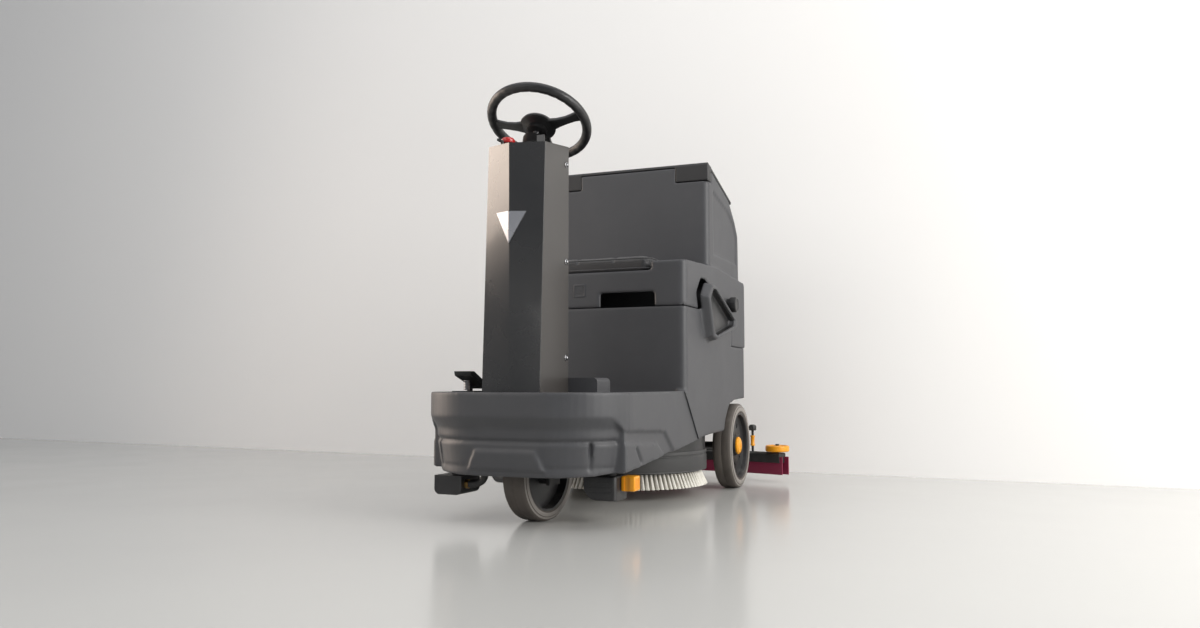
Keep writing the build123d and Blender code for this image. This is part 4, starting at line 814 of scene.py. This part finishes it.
# ---------------------------------------------------------------- seat cushion
def seat_cushion():
    low, high = node_mm("seat_cushion")
    pad = block("seat_cushion_cover", (low.x + 7, high.x - 7), (low.y + 8, high.y - 8),
                (low.z + 1, high.z - 9))
    round_edges(pad, lambda spot, edge: abs(run_of(edge).z) > 0.9, 24, 6)
    round_edges(pad, lambda spot, edge: abs(run_of(edge).z) < 0.1 and spot.z > high.z - 12, 9, 3)
    applied(pad, "REMESH", mode="VOXEL", voxel_size=0.0055, adaptivity=0.0)
    inflate(pad, 0.009)
    applied(pad, "SUBSURF", levels=1, render_levels=1)
    for vertex in pad.data.vertices:
        spot = corner_mm(vertex.co)
        vertex.co.z = max(at(0, 0, low.z + 0.5).z, min(vertex.co.z, at(0, 0, high.z - 1).z))
        vertex.co.x = max(-0.1925, min(0.1925, vertex.co.x))
        vertex.co.y = max(at(0, low.y + 0.5, 0).y, min(vertex.co.y, at(0, high.y - 0.5, 0).y))
        sides = min(abs(abs(spot.x) - 62), 30) / 30
        if spot.z > high.z - 20 and abs(spot.x) < 150:
            vertex.co.z -= 0.0045 * math.exp(-(sides * 30 / 4.5) ** 2)
    only(pad)
    bpy.ops.object.shade_smooth()
    return pad


def inflate(pad, most):
    """Pressure from inside, on a cover that holds its place: then no point has moved further than most."""
    start = [vertex.co.copy() for vertex in pad.data.vertices]
    only(pad)
    cloth = pad.modifiers.new("stuffing", "CLOTH")
    cloth.settings.use_pressure = True
    cloth.settings.uniform_pressure_force = 4
    cloth.settings.effector_weights.gravity = 0
    cloth.settings.quality = 5
    for step in range(1, 21):
        bpy.context.scene.frame_set(step)
    bpy.ops.object.modifier_apply(modifier="stuffing")
    bpy.context.scene.frame_set(1)
    for vertex, first in zip(pad.data.vertices, start):
        moved = vertex.co - first
        if moved.length > most:
            vertex.co = first + moved.normalized() * most


cushion = seat_cushion()
mount(cushion, "upper_body", "seat_leather", "seat_cushion")


def piping(name, half_w, y0, y1, z, corner, radius):
    """A round cord sewn along an edge: a rounded loop with a small section."""
    clear()
    bpy.ops.curve.primitive_bezier_circle_add(radius=1)
    bpy.context.object.name = name
    loop = bpy.context.object.data
    loop.splines.remove(loop.splines[0])
    corners = []
    for sx, sy in ((1, 0), (1, 1), (-1, 1), (-1, 0)):
        middle = (sx * (half_w - corner), (y1 - corner) if sy else (y0 + corner))
        first = {(1, 0): -90, (1, 1): 0, (-1, 1): 90, (-1, 0): 180}[(sx, sy)]
        for turn in range(0, 91, 15):
            angle = math.radians(first + turn)
            corners.append((middle[0] + corner * math.cos(angle), middle[1] + corner * math.sin(angle)))
    line = loop.splines.new("POLY")
    line.points.add(len(corners) - 1)
    for point, (x, y) in zip(line.points, corners):
        point.co = (*at(x, y, z), 1)
    line.use_cyclic_u = True
    loop.bevel_depth = radius / 1000
    loop.bevel_resolution = 3
    bpy.ops.object.convert(target="MESH")
    piece = bpy.context.object
    only(piece)
    bpy.ops.object.shade_smooth()
    return piece


low, high = node_mm("seat_cushion")
for label, z, shrink in (("upper", high.z - 12, 2.4), ("lower", low.z + 7, 2.4)):
    cord = piping(f"seat_piping_{label}", high.x - shrink, low.y + shrink, high.y - shrink, z, 24, 2.1)
    mount(cord, "upper_body", "seat_leather")


# ---------------------------------------------------------------- wheels
def solid_tyre(name, centre, radius, half_w, rim_r):
    """A solid tyre with rounded shoulders, a moulding line and a stepped side wall."""
    edge = [(rim_r, half_w - 3), (rim_r + 6, half_w), (radius - 13, half_w), (radius - 11, half_w - 1.6),
            (radius - 6, half_w - 2.4), (radius - 1.6, half_w - 6.5), (radius, half_w - 12), (radius, 1.6)]
    outline = [(r, -h) for r, h in edge] + [(radius - 0.8, 0)] + edge[::-1]
    tyre = lathe(name, outline, centre, "X", 96)
    tyre.data.materials.append(FINISH["tyre_rubber"])
    tyre.data.materials.append(SIDEWALL)
    for face in tyre.data.polygons:
        spot = corner_mm(face.center)
        reach = math.hypot(spot.y - centre[1], spot.z - centre[2])
        if abs(face.normal.x) > 0.9 and reach > rim_r + 4:
            face.material_index = 1
    return smooth(tyre, 50)


def wheel_dish(name, centre, half_w, rim_r, hub_r, outer):
    """A pressed disc wheel: lip, dish with a raised ring, six pockets and a hub."""
    lip = half_w - 2
    dish = half_w - 20
    outline = [(13, -half_w + 4), (hub_r, -half_w + 4), (hub_r, -dish + 4), (rim_r - 12, -dish + 4),
               (rim_r - 8, -lip), (rim_r, -lip), (rim_r, lip), (rim_r - 3, lip), (rim_r - 7, lip - 3),
               (rim_r - 9, dish + 2), (rim_r - 15, dish - 2), (rim_r - 34, dish - 3), (rim_r - 37, dish),
               (hub_r + 12, dish), (hub_r + 8, dish - 2), (hub_r + 2, dish - 2), (hub_r, half_w - 14),
               (13, half_w - 14)]
    if outer < 0:
        outline = [(r, -h) for r, h in outline]
    wheel = lathe(name, outline, centre, "X", 96)
    for spoke in range(6):
        angle = math.tau * spoke / 6 + 0.3
        reach = (rim_r + hub_r) / 2 - 2
        dent = disc("dent", (centre[0] + outer * (dish + 2), centre[1] + reach * math.cos(angle),
                             centre[2] + reach * math.sin(angle)), 11, 9, "X", 32)
        carve(wheel, dent)
    return smooth(wheel, 40)


def hub_cap(name, centre, half_w, outer):
    """A domed cap with a stepped skirt and two grip notches."""
    base = half_w - 13.6
    outline = [(0, base), (30, base), (31, base + 3), (30, base + 6), (27.5, base + 7), (26, base + 10),
               (20, base + 12.4), (10, base + 13.4), (0, base + 13.55)]
    if outer < 0:
        outline = [(r, -h) for r, h in outline]
    cap = lathe(name, outline, centre, "X", 64)
    for side in (-1, 1):
        carve(cap, block("notch", (centre[0] + outer * (base + 11), centre[0] + outer * (base + 16)),
                         (centre[1] + side * 12 - 2.5, centre[1] + side * 12 + 2.5),
                         (centre[2] - 7, centre[2] + 7)))
    return smooth(cap, 40)


REAR_RIM_IN = 33
HUB_R = 34
for side, word in ((1, "left"), (-1, "right")):
    low, high = node_mm(f"rear_tyre_{word}")
    middle = (low + high) / 2
    radius, half_w = (high.z - low.z) / 2, (high.x - low.x) / 2
    body = f"rear_wheel_{word}"
    tyre = solid_tyre(f"rear_tyre_{word}_tread", middle, radius, half_w, radius - REAR_RIM_IN)
    mount(tyre, body, "tyre_rubber", f"rear_tyre_{word}")
    dish = wheel_dish(f"rear_dish_{word}", middle, half_w, radius - REAR_RIM_IN - 0.2, HUB_R, side)
    mount(dish, body, "rim_plastic", f"rear_rim_{word}")
    mount(hub_cap(f"rear_cap_{word}", middle, half_w, side), body, "yellow_plastic", f"rear_hub_cap_{word}")

# The front wheel stands turned a little, so it is built straight and then turned about its king pin.
STEER_REST = math.radians(-8)


FRONT_R, FRONT_HALF_W, FRONT_RIM_R = 125, 37, 96
tyre = solid_tyre("front_tyre_tread", Vector((0, 0, FRONT_R)), FRONT_R, FRONT_HALF_W, FRONT_RIM_R)
mount(turned(tyre, (0, 0, STEER_REST), (0, 0, 0)), "front_wheel", "tyre_rubber", "front_tyre")


# ---------------------------------------------------------------- steering wheel
WHEEL_TILT = math.radians(-29)
WHEEL_AT = (0, -8, 1104)


def on_column(piece):
    """Takes a piece modelled flat round the origin to its tilted place on the column."""
    return turned(piece, (WHEEL_TILT, 0, 0), WHEEL_AT)


def spoke(angle):
    """A broad flat spoke, widest at the hub, waisted, and dished up to the rim."""
    arm = block("spoke", (16, 131), (-20, 20), (-21, -9))
    only(arm)
    bpy.ops.object.mode_set(mode="EDIT")
    for x in (44, 64, 90, 112):
        bpy.ops.mesh.select_all(action="SELECT")
        bpy.ops.mesh.bisect(plane_co=at(x, 0, 0), plane_no=(1, 0, 0))
    clear()
    for x, lift, width in ((44, 0, 0.98), (64, 2, 0.72), (90, 6, 0.6), (112, 11, 0.66), (131, 14, 0.85)):
        pick(arm, "EDGE", lambda spot, edge: abs(spot.x - x) < 1 and abs(run_of(edge).x) < 0.1)
        bpy.ops.transform.translate(value=(0, 0, lift / 1000))
        bpy.ops.transform.resize(value=(1, width, 1), center_override=at(x, 0, 0))
        clear()
    round_edges(arm, lambda spot, edge: abs(run_of(edge).x) > 0.5, 3.4, 3)
    return turned(arm, (0, 0, angle), (0, 0, 0))


def steering_wheel():
    """The padded rim with finger swells underneath, three spokes and a hub with a ribbed boss."""
    clear()
    bpy.ops.mesh.primitive_torus_add(location=at(0, 0, 0), major_radius=0.1365, minor_radius=0.0134,
                                     major_segments=128, minor_segments=24)
    rim = settled("steering_wheel_rim")
    for vertex in rim.data.vertices:
        spot = corner_mm(vertex.co)
        angle = math.atan2(spot.y, spot.x)
        if spot.z < -3:
            vertex.co.z += 0.0011 * max(0, math.cos(angle * 32)) ** 2
    ribs = []
    for step in range(4):
        ribs += [(r, z + step * 3) for r, z in ((27.5, -38), (29.5, -37.4), (29.5, -36.4), (27.5, -35.8))]
    crown = [(30, -25), (42, -22), (50, -18), (51, -14), (48, -8), (38, -4.5), (16, -3.2), (0, -3)]
    hub = lathe("hub", [(0, -39), (26, -39)] + ribs + crown, (0, 0, 0), "Z", 72)
    arms = [spoke(math.radians(turn)) for turn in (-5, 91, 187)]
    wheel = gathered("steering_wheel_grip", [rim, hub, *arms])
    return on_column(smooth(wheel, 40))


mount(steering_wheel(), "steering", "wheel_grip", "steering_wheel")
bellows = []
for step in range(6):
    bellows += [(31.5 - step * 0.6, -66 - step * 5.2), (27.5 - step * 0.6, -68.6 - step * 5.2)]
sleeve = lathe("steering_bellows", [(26.1, -62)] + bellows + [(26.1, -97)], (0, 0, 0), "Z", 64)
mount(on_column(smooth(sleeve, 60)), "chassis", "hose_rubber")


# ---------------------------------------------------------------- brush
TUFT_STRAY = 0.0009
TUFT_ROWS = [(266, 246, 104), (250, 234, 98), (232, 220, 90), (212, 204, 82), (190, 186, 72), (168, 166, 62)]


def brush_tufts():
    """Rows of tufts from (radius at the foot, radius at the root, tufts), the outer ones leaning outwards."""
    low, high = node_mm("brush_bristles")
    middle_y = (low.y + high.y) / 2
    rows = []
    for row, (foot, root, count) in enumerate(TUFT_ROWS):
        clear()
        bpy.ops.mesh.primitive_cone_add(vertices=9, radius1=0.0064, radius2=0.0042, depth=0.0455,
                                        location=at(foot, middle_y, (low.z + high.z) / 2),
                                        end_fill_type="TRIFAN")
        tuft = settled(f"tufts_{row}")
        pick(tuft, "FACE", lambda spot, face: spot.z > high.z - 5 and face.normal.z > 0.5)
        bpy.ops.transform.translate(value=((root - foot) / 1000, 0, 0))
        bpy.ops.mesh.select_all(action="SELECT")
        bpy.ops.mesh.spin(dupli=True, steps=count - 1, angle=math.tau * (count - 1) / count,
                          center=at(0, middle_y, 0), axis=(0, 0, 1))
        clear()
        rows.append(tuft)
    random.seed(7)
    brush = gathered("brush_tufts", rows)
    for vertex in brush.data.vertices:
        if corner_mm(vertex.co).z < low.z + 6:
            vertex.co.x += random.uniform(-TUFT_STRAY, TUFT_STRAY)
            vertex.co.y += random.uniform(-TUFT_STRAY, TUFT_STRAY)
    return smooth(brush, 50)


mount(brush_tufts(), "brush", "bristle", "brush_bristles")


def splash_band():
    """The rubber band round the deck, with a bead at its top and a lip at its foot."""
    deck_low, deck_high = node_mm("brush_housing")
    middle_y = (deck_low.y + deck_high.y) / 2
    outer = node_mm("splash_band")[1].x
    steps = [(5, 153.5), (1.5, 153.5), (0.3, 151.5), (0.3, 143), (2, 141), (2, 137), (0.4, 135), (0.4, 96),
             (2, 92), (0.6, 90), (0.6, 88.4), (5, 88.4)]
    band = lathe("splash_band_rubber", [(outer - inset, z) for inset, z in steps], (0, middle_y, 0), "Z", 128)
    return smooth(band, 35)


mount(splash_band(), "brush_deck", "band_plastic", "splash_band")


# ---------------------------------------------------------------- squeegee
ARC_R, ARC_Y = 1194.4, 127.6


def arc_bar(name, profile, half_w, steps=48):
    """A bar swept along the squeegee's curve from (offset, height) points."""
    start = math.asin(half_w / ARC_R)
    points = [(-(ARC_R + off) * math.sin(start), ARC_Y + (ARC_R + off) * math.cos(start), z)
              for off, z in profile]
    bar = traced(name, points, closed=True)
    bpy.ops.mesh.remove_doubles(threshold=0.00002)
    bpy.ops.mesh.select_all(action="SELECT")
    bpy.ops.mesh.edge_face_add()
    spun(steps, 2 * start, (0, ARC_Y, 0), (0, 0, 1))
    return bar


def arc_point(x, off):
    """Where a bar's offset line stands at one distance from the middle."""
    return ARC_Y + math.sqrt((ARC_R + off) ** 2 - x * x)


def squeegee_body():
    bar = arc_bar("bar", [(-30, 75), (-27, 72), (12, 72), (16, 76), (16, 90), (14, 92), (14, 96), (16, 98),
                          (16, 105), (11, 110), (-2, 110), (-5, 107), (-12, 107), (-15, 110), (-25, 110),
                          (-30, 105)], 424)
    spigot = lathe("spigot", [(24, 109), (30, 109), (30, 112), (30, 138), (29, 140), (30, 142), (29.4, 150),
                              (25, 150)], (0, 1315, 0), "Z", 64)
    studs = []
    stud = [(0, 106), (8, 106), (8, 109.5), (5, 109.8), (4.6, 109.95), (0, 110)]
    for x in (-120, -210, 120, 210):
        studs.append(lathe("stud", stud, (x, arc_point(x, -8.5), 0), "Z", 6))
    return smooth(gathered("squeegee_bar", [bar, spigot, *studs]), 35)


def squeegee_blade(name, off, half_w):
    """One rubber strip with a chamfered wiping edge."""
    return arc_bar(name, [(off - 1.9, 30), (off - 1.1, 28.2), (off + 1.1, 28.2), (off + 1.9, 30),
                          (off + 1.9, 94), (off + 1.3, 95.6), (off - 1.3, 95.6), (off - 1.9, 94)], half_w, 96)


mount(squeegee_body(), "squeegee", "frame_paint", "squeegee_body")
rubbers = [squeegee_blade("front_strip", -23.7, 434), squeegee_blade("rear_strip", 9.7, 440)]
mount(smooth(gathered("squeegee_strips", rubbers), 35), "squeegee", "blade_rubber", "squeegee_blades")


def bumper_roller(word):
    low, high = node_mm(f"squeegee_roller_{word}")
    x, y = (low.x + high.x) / 2, (low.y + high.y) / 2
    z0, z1, r = low.z, high.z, (high.x - low.x) / 2
    half = [(5.2, 1), (14, 1), (16, 4), (r - 12, 4), (r - 9, 0.4), (r - 4, 0.4), (r - 0.6, 3), (r - 0.1, 7)]
    outline = [(reach, z0 + h) for reach, h in half] + [(reach, z1 - h) for reach, h in half[::-1]]
    wheel = lathe(f"roller_{word}", outline, (x, y, 0), "Z", 72)
    return smooth(wheel, 40)


for word in ("left", "right"):
    mount(bumper_roller(word), f"roller_{word}", "yellow_plastic", f"squeegee_roller_{word}")


KNOB_X = 300
BAR_TOP = 110.4


def squeegee_posts():
    """Two threaded rods with yellow collars and fluted black knobs, and the rollers' bolts."""
    dark, bright = [], []
    for side in (-1, 1):
        x = side * KNOB_X
        y = arc_point(x, -8)
        thread = [(5 if turn % 2 else 4.5, BAR_TOP + turn * 1.2) for turn in range(68)]
        dark.append(lathe("rod", [(0, BAR_TOP)] + thread + [(0, thread[-1][1])], (x, y, 0), "Z", 24))
        knob = lathe("knob", [(0, 191), (11, 191), (14.5, 193.5), (14.8, 198), (14.4, 206), (12, 211.5),
                              (6, 213.6), (0, 213.8)], (x, y, 0), "Z", 64)
        for flute in range(8):
            turn = math.tau * flute / 8
            spot = (x + 17.2 * math.cos(turn), y + 17.2 * math.sin(turn), 202)
            carve(knob, disc("flute", spot, 4.6, 30, "Z", 24))
        dark.append(knob)
        collar = lathe("collar", [(5.3, 132.2), (8.6, 132.2), (9, 134), (9, 138), (7.4, 140), (7.4, 164),
                                  (9, 166), (9, 170.5), (8.4, 171.8), (5.3, 171.8)], (x, y, 0), "Z", 32)
        bright.append(collar)
        roller_low, roller_high = node_mm("squeegee_roller_left" if side > 0 else "squeegee_roller_right")
        middle, top = (roller_low + roller_high) / 2, roller_high.z
        bolt = [(0, BAR_TOP), (4.9, BAR_TOP), (4.9, top + 0.4), (9, top + 0.4), (9, top + 1.6),
                (7, top + 1.8), (6.6, top + 4.6), (0, top + 4.8)]
        dark.append(lathe("bolt", bolt, (middle.x, middle.y, 0), "Z", 24))
    mount(smooth(gathered("squeegee_knobs", dark), 40), "squeegee", "post_plastic", "squeegee_posts")
    mount(smooth(gathered("squeegee_collars", bright), 40), "squeegee", "yellow_plastic")


squeegee_posts()


# ---------------------------------------------------------------- small parts
BOLT_Y = -8
BOLT_LEVELS = (442, 706, 976)


def column_bolts():
    """Domed heads on washers, three down each side of the column."""
    outline = [(0, 84.1), (9, 84.1), (9, 85.3), (8.2, 86), (6, 86.1), (5.6, 87), (5.5, 88.2), (4.4, 89.9),
               (2.4, 90.8), (0, 90.95)]
    heads = []
    for side in (-1, 1):
        for z in BOLT_LEVELS:
            heads.append(lathe("bolt", [(r, side * h) for r, h in outline], (0, BOLT_Y, z), "X", 40))
    return smooth(gathered("column_bolt_heads", heads), 40)


mount(column_bolts(), "chassis", "chrome", "column_bolts")


def coil_spring(name, x, y, z0, z1, radius, wire_r, turns):
    """A round wire wound up round an upright line."""
    clear()
    bpy.ops.mesh.primitive_circle_add(vertices=14, radius=wire_r / 1000, fill_type="NGON",
                                      location=((radius - wire_r) / 1000, 0, (z0 + wire_r) / 1000),
                                      rotation=(math.radians(90), 0, 0))
    spring = settled(name)
    rise = (z1 - z0 - 2 * wire_r) / 1000
    rounds = 24 * turns
    applied(spring, "SCREW", angle=math.tau * turns, screw_offset=rise, steps=rounds, render_steps=rounds,
            use_merge_vertices=True, use_normal_calculate=True)
    spring.location = at(x, y, 0)
    only(spring)
    bpy.ops.object.transform_apply(location=True, rotation=True, scale=True)
    bpy.ops.object.mode_set(mode="EDIT")
    bpy.ops.mesh.select_all(action="SELECT")
    bpy.ops.mesh.normals_make_consistent(inside=False)
    clear()
    return smooth(spring, 60)


low, high = node_mm("pedal_spring")
middle = (low + high) / 2
spring = coil_spring("pedal_coil", middle.x, middle.y, low.z + 0.2, high.z - 0.2,
                     (high.x - low.x) / 2, 1.3, 6)
mount(spring, "chassis", "steel", "pedal_spring")
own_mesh(spring)


def water_tap():
    """A quarter-turn tap: a stem and a ribbed handle."""
    low, high = node_mm("water_valve")
    y, z = (low.y + high.y) / 2, (low.z + high.z) / 2
    handle = block("handle", (236.3, high.x), (low.y, high.y), (low.z, high.z))
    round_edges(handle, lambda spot, edge: True, 4.5, 4)
    for groove in range(5):
        spot_y = low.y + 8 + groove * 7
        carve(handle, block("groove", (high.x - 1.6, high.x + 4), (spot_y - 1.2, spot_y + 1.2),
                            (low.z + 6, high.z - 6)))
    carve(handle, block("waist", (246, 262), (low.y - 2, low.y + 2.5), (low.z - 2, high.z + 2)))
    stem = lathe("stem", [(0, low.x), (5.9, low.x), (5.9, 236.8), (0, 236.8)], (0, y, z), "X", 32)
    return smooth(gathered("water_tap", [handle, stem]), 35)


mount(water_tap(), "valve", "yellow_plastic", "water_valve")


def filter_bowl():
    """The water filter under the deck: a rounded bowl with pressed lines, its pipe and the tap's bore."""
    low, high = node_mm("filter_bowl")
    tap_low, tap_high = node_mm("water_valve")
    y, z = (tap_low.y + tap_high.y) / 2, (tap_low.z + tap_high.z) / 2
    bowl = block("bowl", (low.x, high.x), (low.y, high.y), (low.z, 128))
    round_edges(bowl, lambda spot, edge: abs(run_of(edge).y) > 0.9 and spot.x < low.x + 2
                and spot.z < low.z + 2, 40, 10)
    round_edges(bowl, lambda spot, edge: abs(run_of(edge).z) > 0.9 and spot.x > high.x - 2, 12, 5)
    round_edges(bowl, lambda spot, edge: abs(run_of(edge).z) < 0.1 and spot.z < low.z + 2
                and spot.x > low.x + 41, 7, 4)
    round_edges(bowl, lambda spot, edge: abs(run_of(edge).z) < 0.1 and spot.z > 127, 4, 3)
    carve(bowl, disc("bore", (236, y, z), 6.2, 30, "X", 32))
    for step in range(3):
        level = 84 + step * 14
        carve(bowl, block("line", (low.x - 5, high.x + 5), (low.y - 5, low.y + 1.2), (level, level + 2)))
    top = high.z - 0.2
    pipe = lathe("pipe", [(14, 120), (20, 120), (20, 131), (24, 133), (24, 143), (20, 145), (20, top),
                          (14, top)], (200, 20, 0), "Z", 48)
    return smooth(gathered("filter_housing", [bowl, pipe]), 35)


mount(filter_bowl(), "chassis", "black_plastic", "filter_bowl")


def fill_plug():
    """The filling plug on the side, with flutes to grip."""
    low, high = node_mm("fill_cap")
    y, z = (low.y + high.y) / 2, (low.z + high.z) / 2
    cap = lathe("plug", [(0, low.x), (22, low.x), (22, 316.2), (26.6, 316.4), (27, 318), (27, 335),
                         (25.6, 338.4), (22, 339.8), (20, 338), (10, 337.4), (0, 337.4)], (0, y, z), "X", 72)
    for flute in range(16):
        turn = math.tau * flute / 16
        spot = (329, y + 28.4 * math.cos(turn), z + 28.4 * math.sin(turn))
        carve(cap, disc("flute", spot, 2.6, 17, "X", 16))
    return smooth(cap, 35)


mount(fill_plug(), "fill_plug", "black_plastic", "fill_cap")


# ---------------------------------------------------------------- solution hose
HOSE_R = 10
HOSE_ROUTE = [(-156, -106, 102), (-104, -106, 102), (-104, -126, 176), (-102, -86, 248), (-104, -10, 256),
              (-107, 90, 259), (-108, 190, 256), (-100, 290, 252)]
curve = bpy.data.curves.new("solution_hose_line", "CURVE")
curve.dimensions = "3D"
line = curve.splines.new("NURBS")
line.points.add(len(HOSE_ROUTE) - 1)
for point, spot in zip(line.points, HOSE_ROUTE):
    point.co = (*at(*spot), 1)
line.order_u = 3
line.use_endpoint_u = True
line.resolution_u = 16
curve.bevel_depth = HOSE_R / 1000 - 0.0001
curve.bevel_resolution = 8
curve.use_fill_caps = True
hose = bpy.data.objects.new("solution_hose_tube", curve)
bpy.context.collection.objects.link(hose)
curve.materials.append(FINISH["hose_rubber"])
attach(hose, "chassis")
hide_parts("solution_hose")
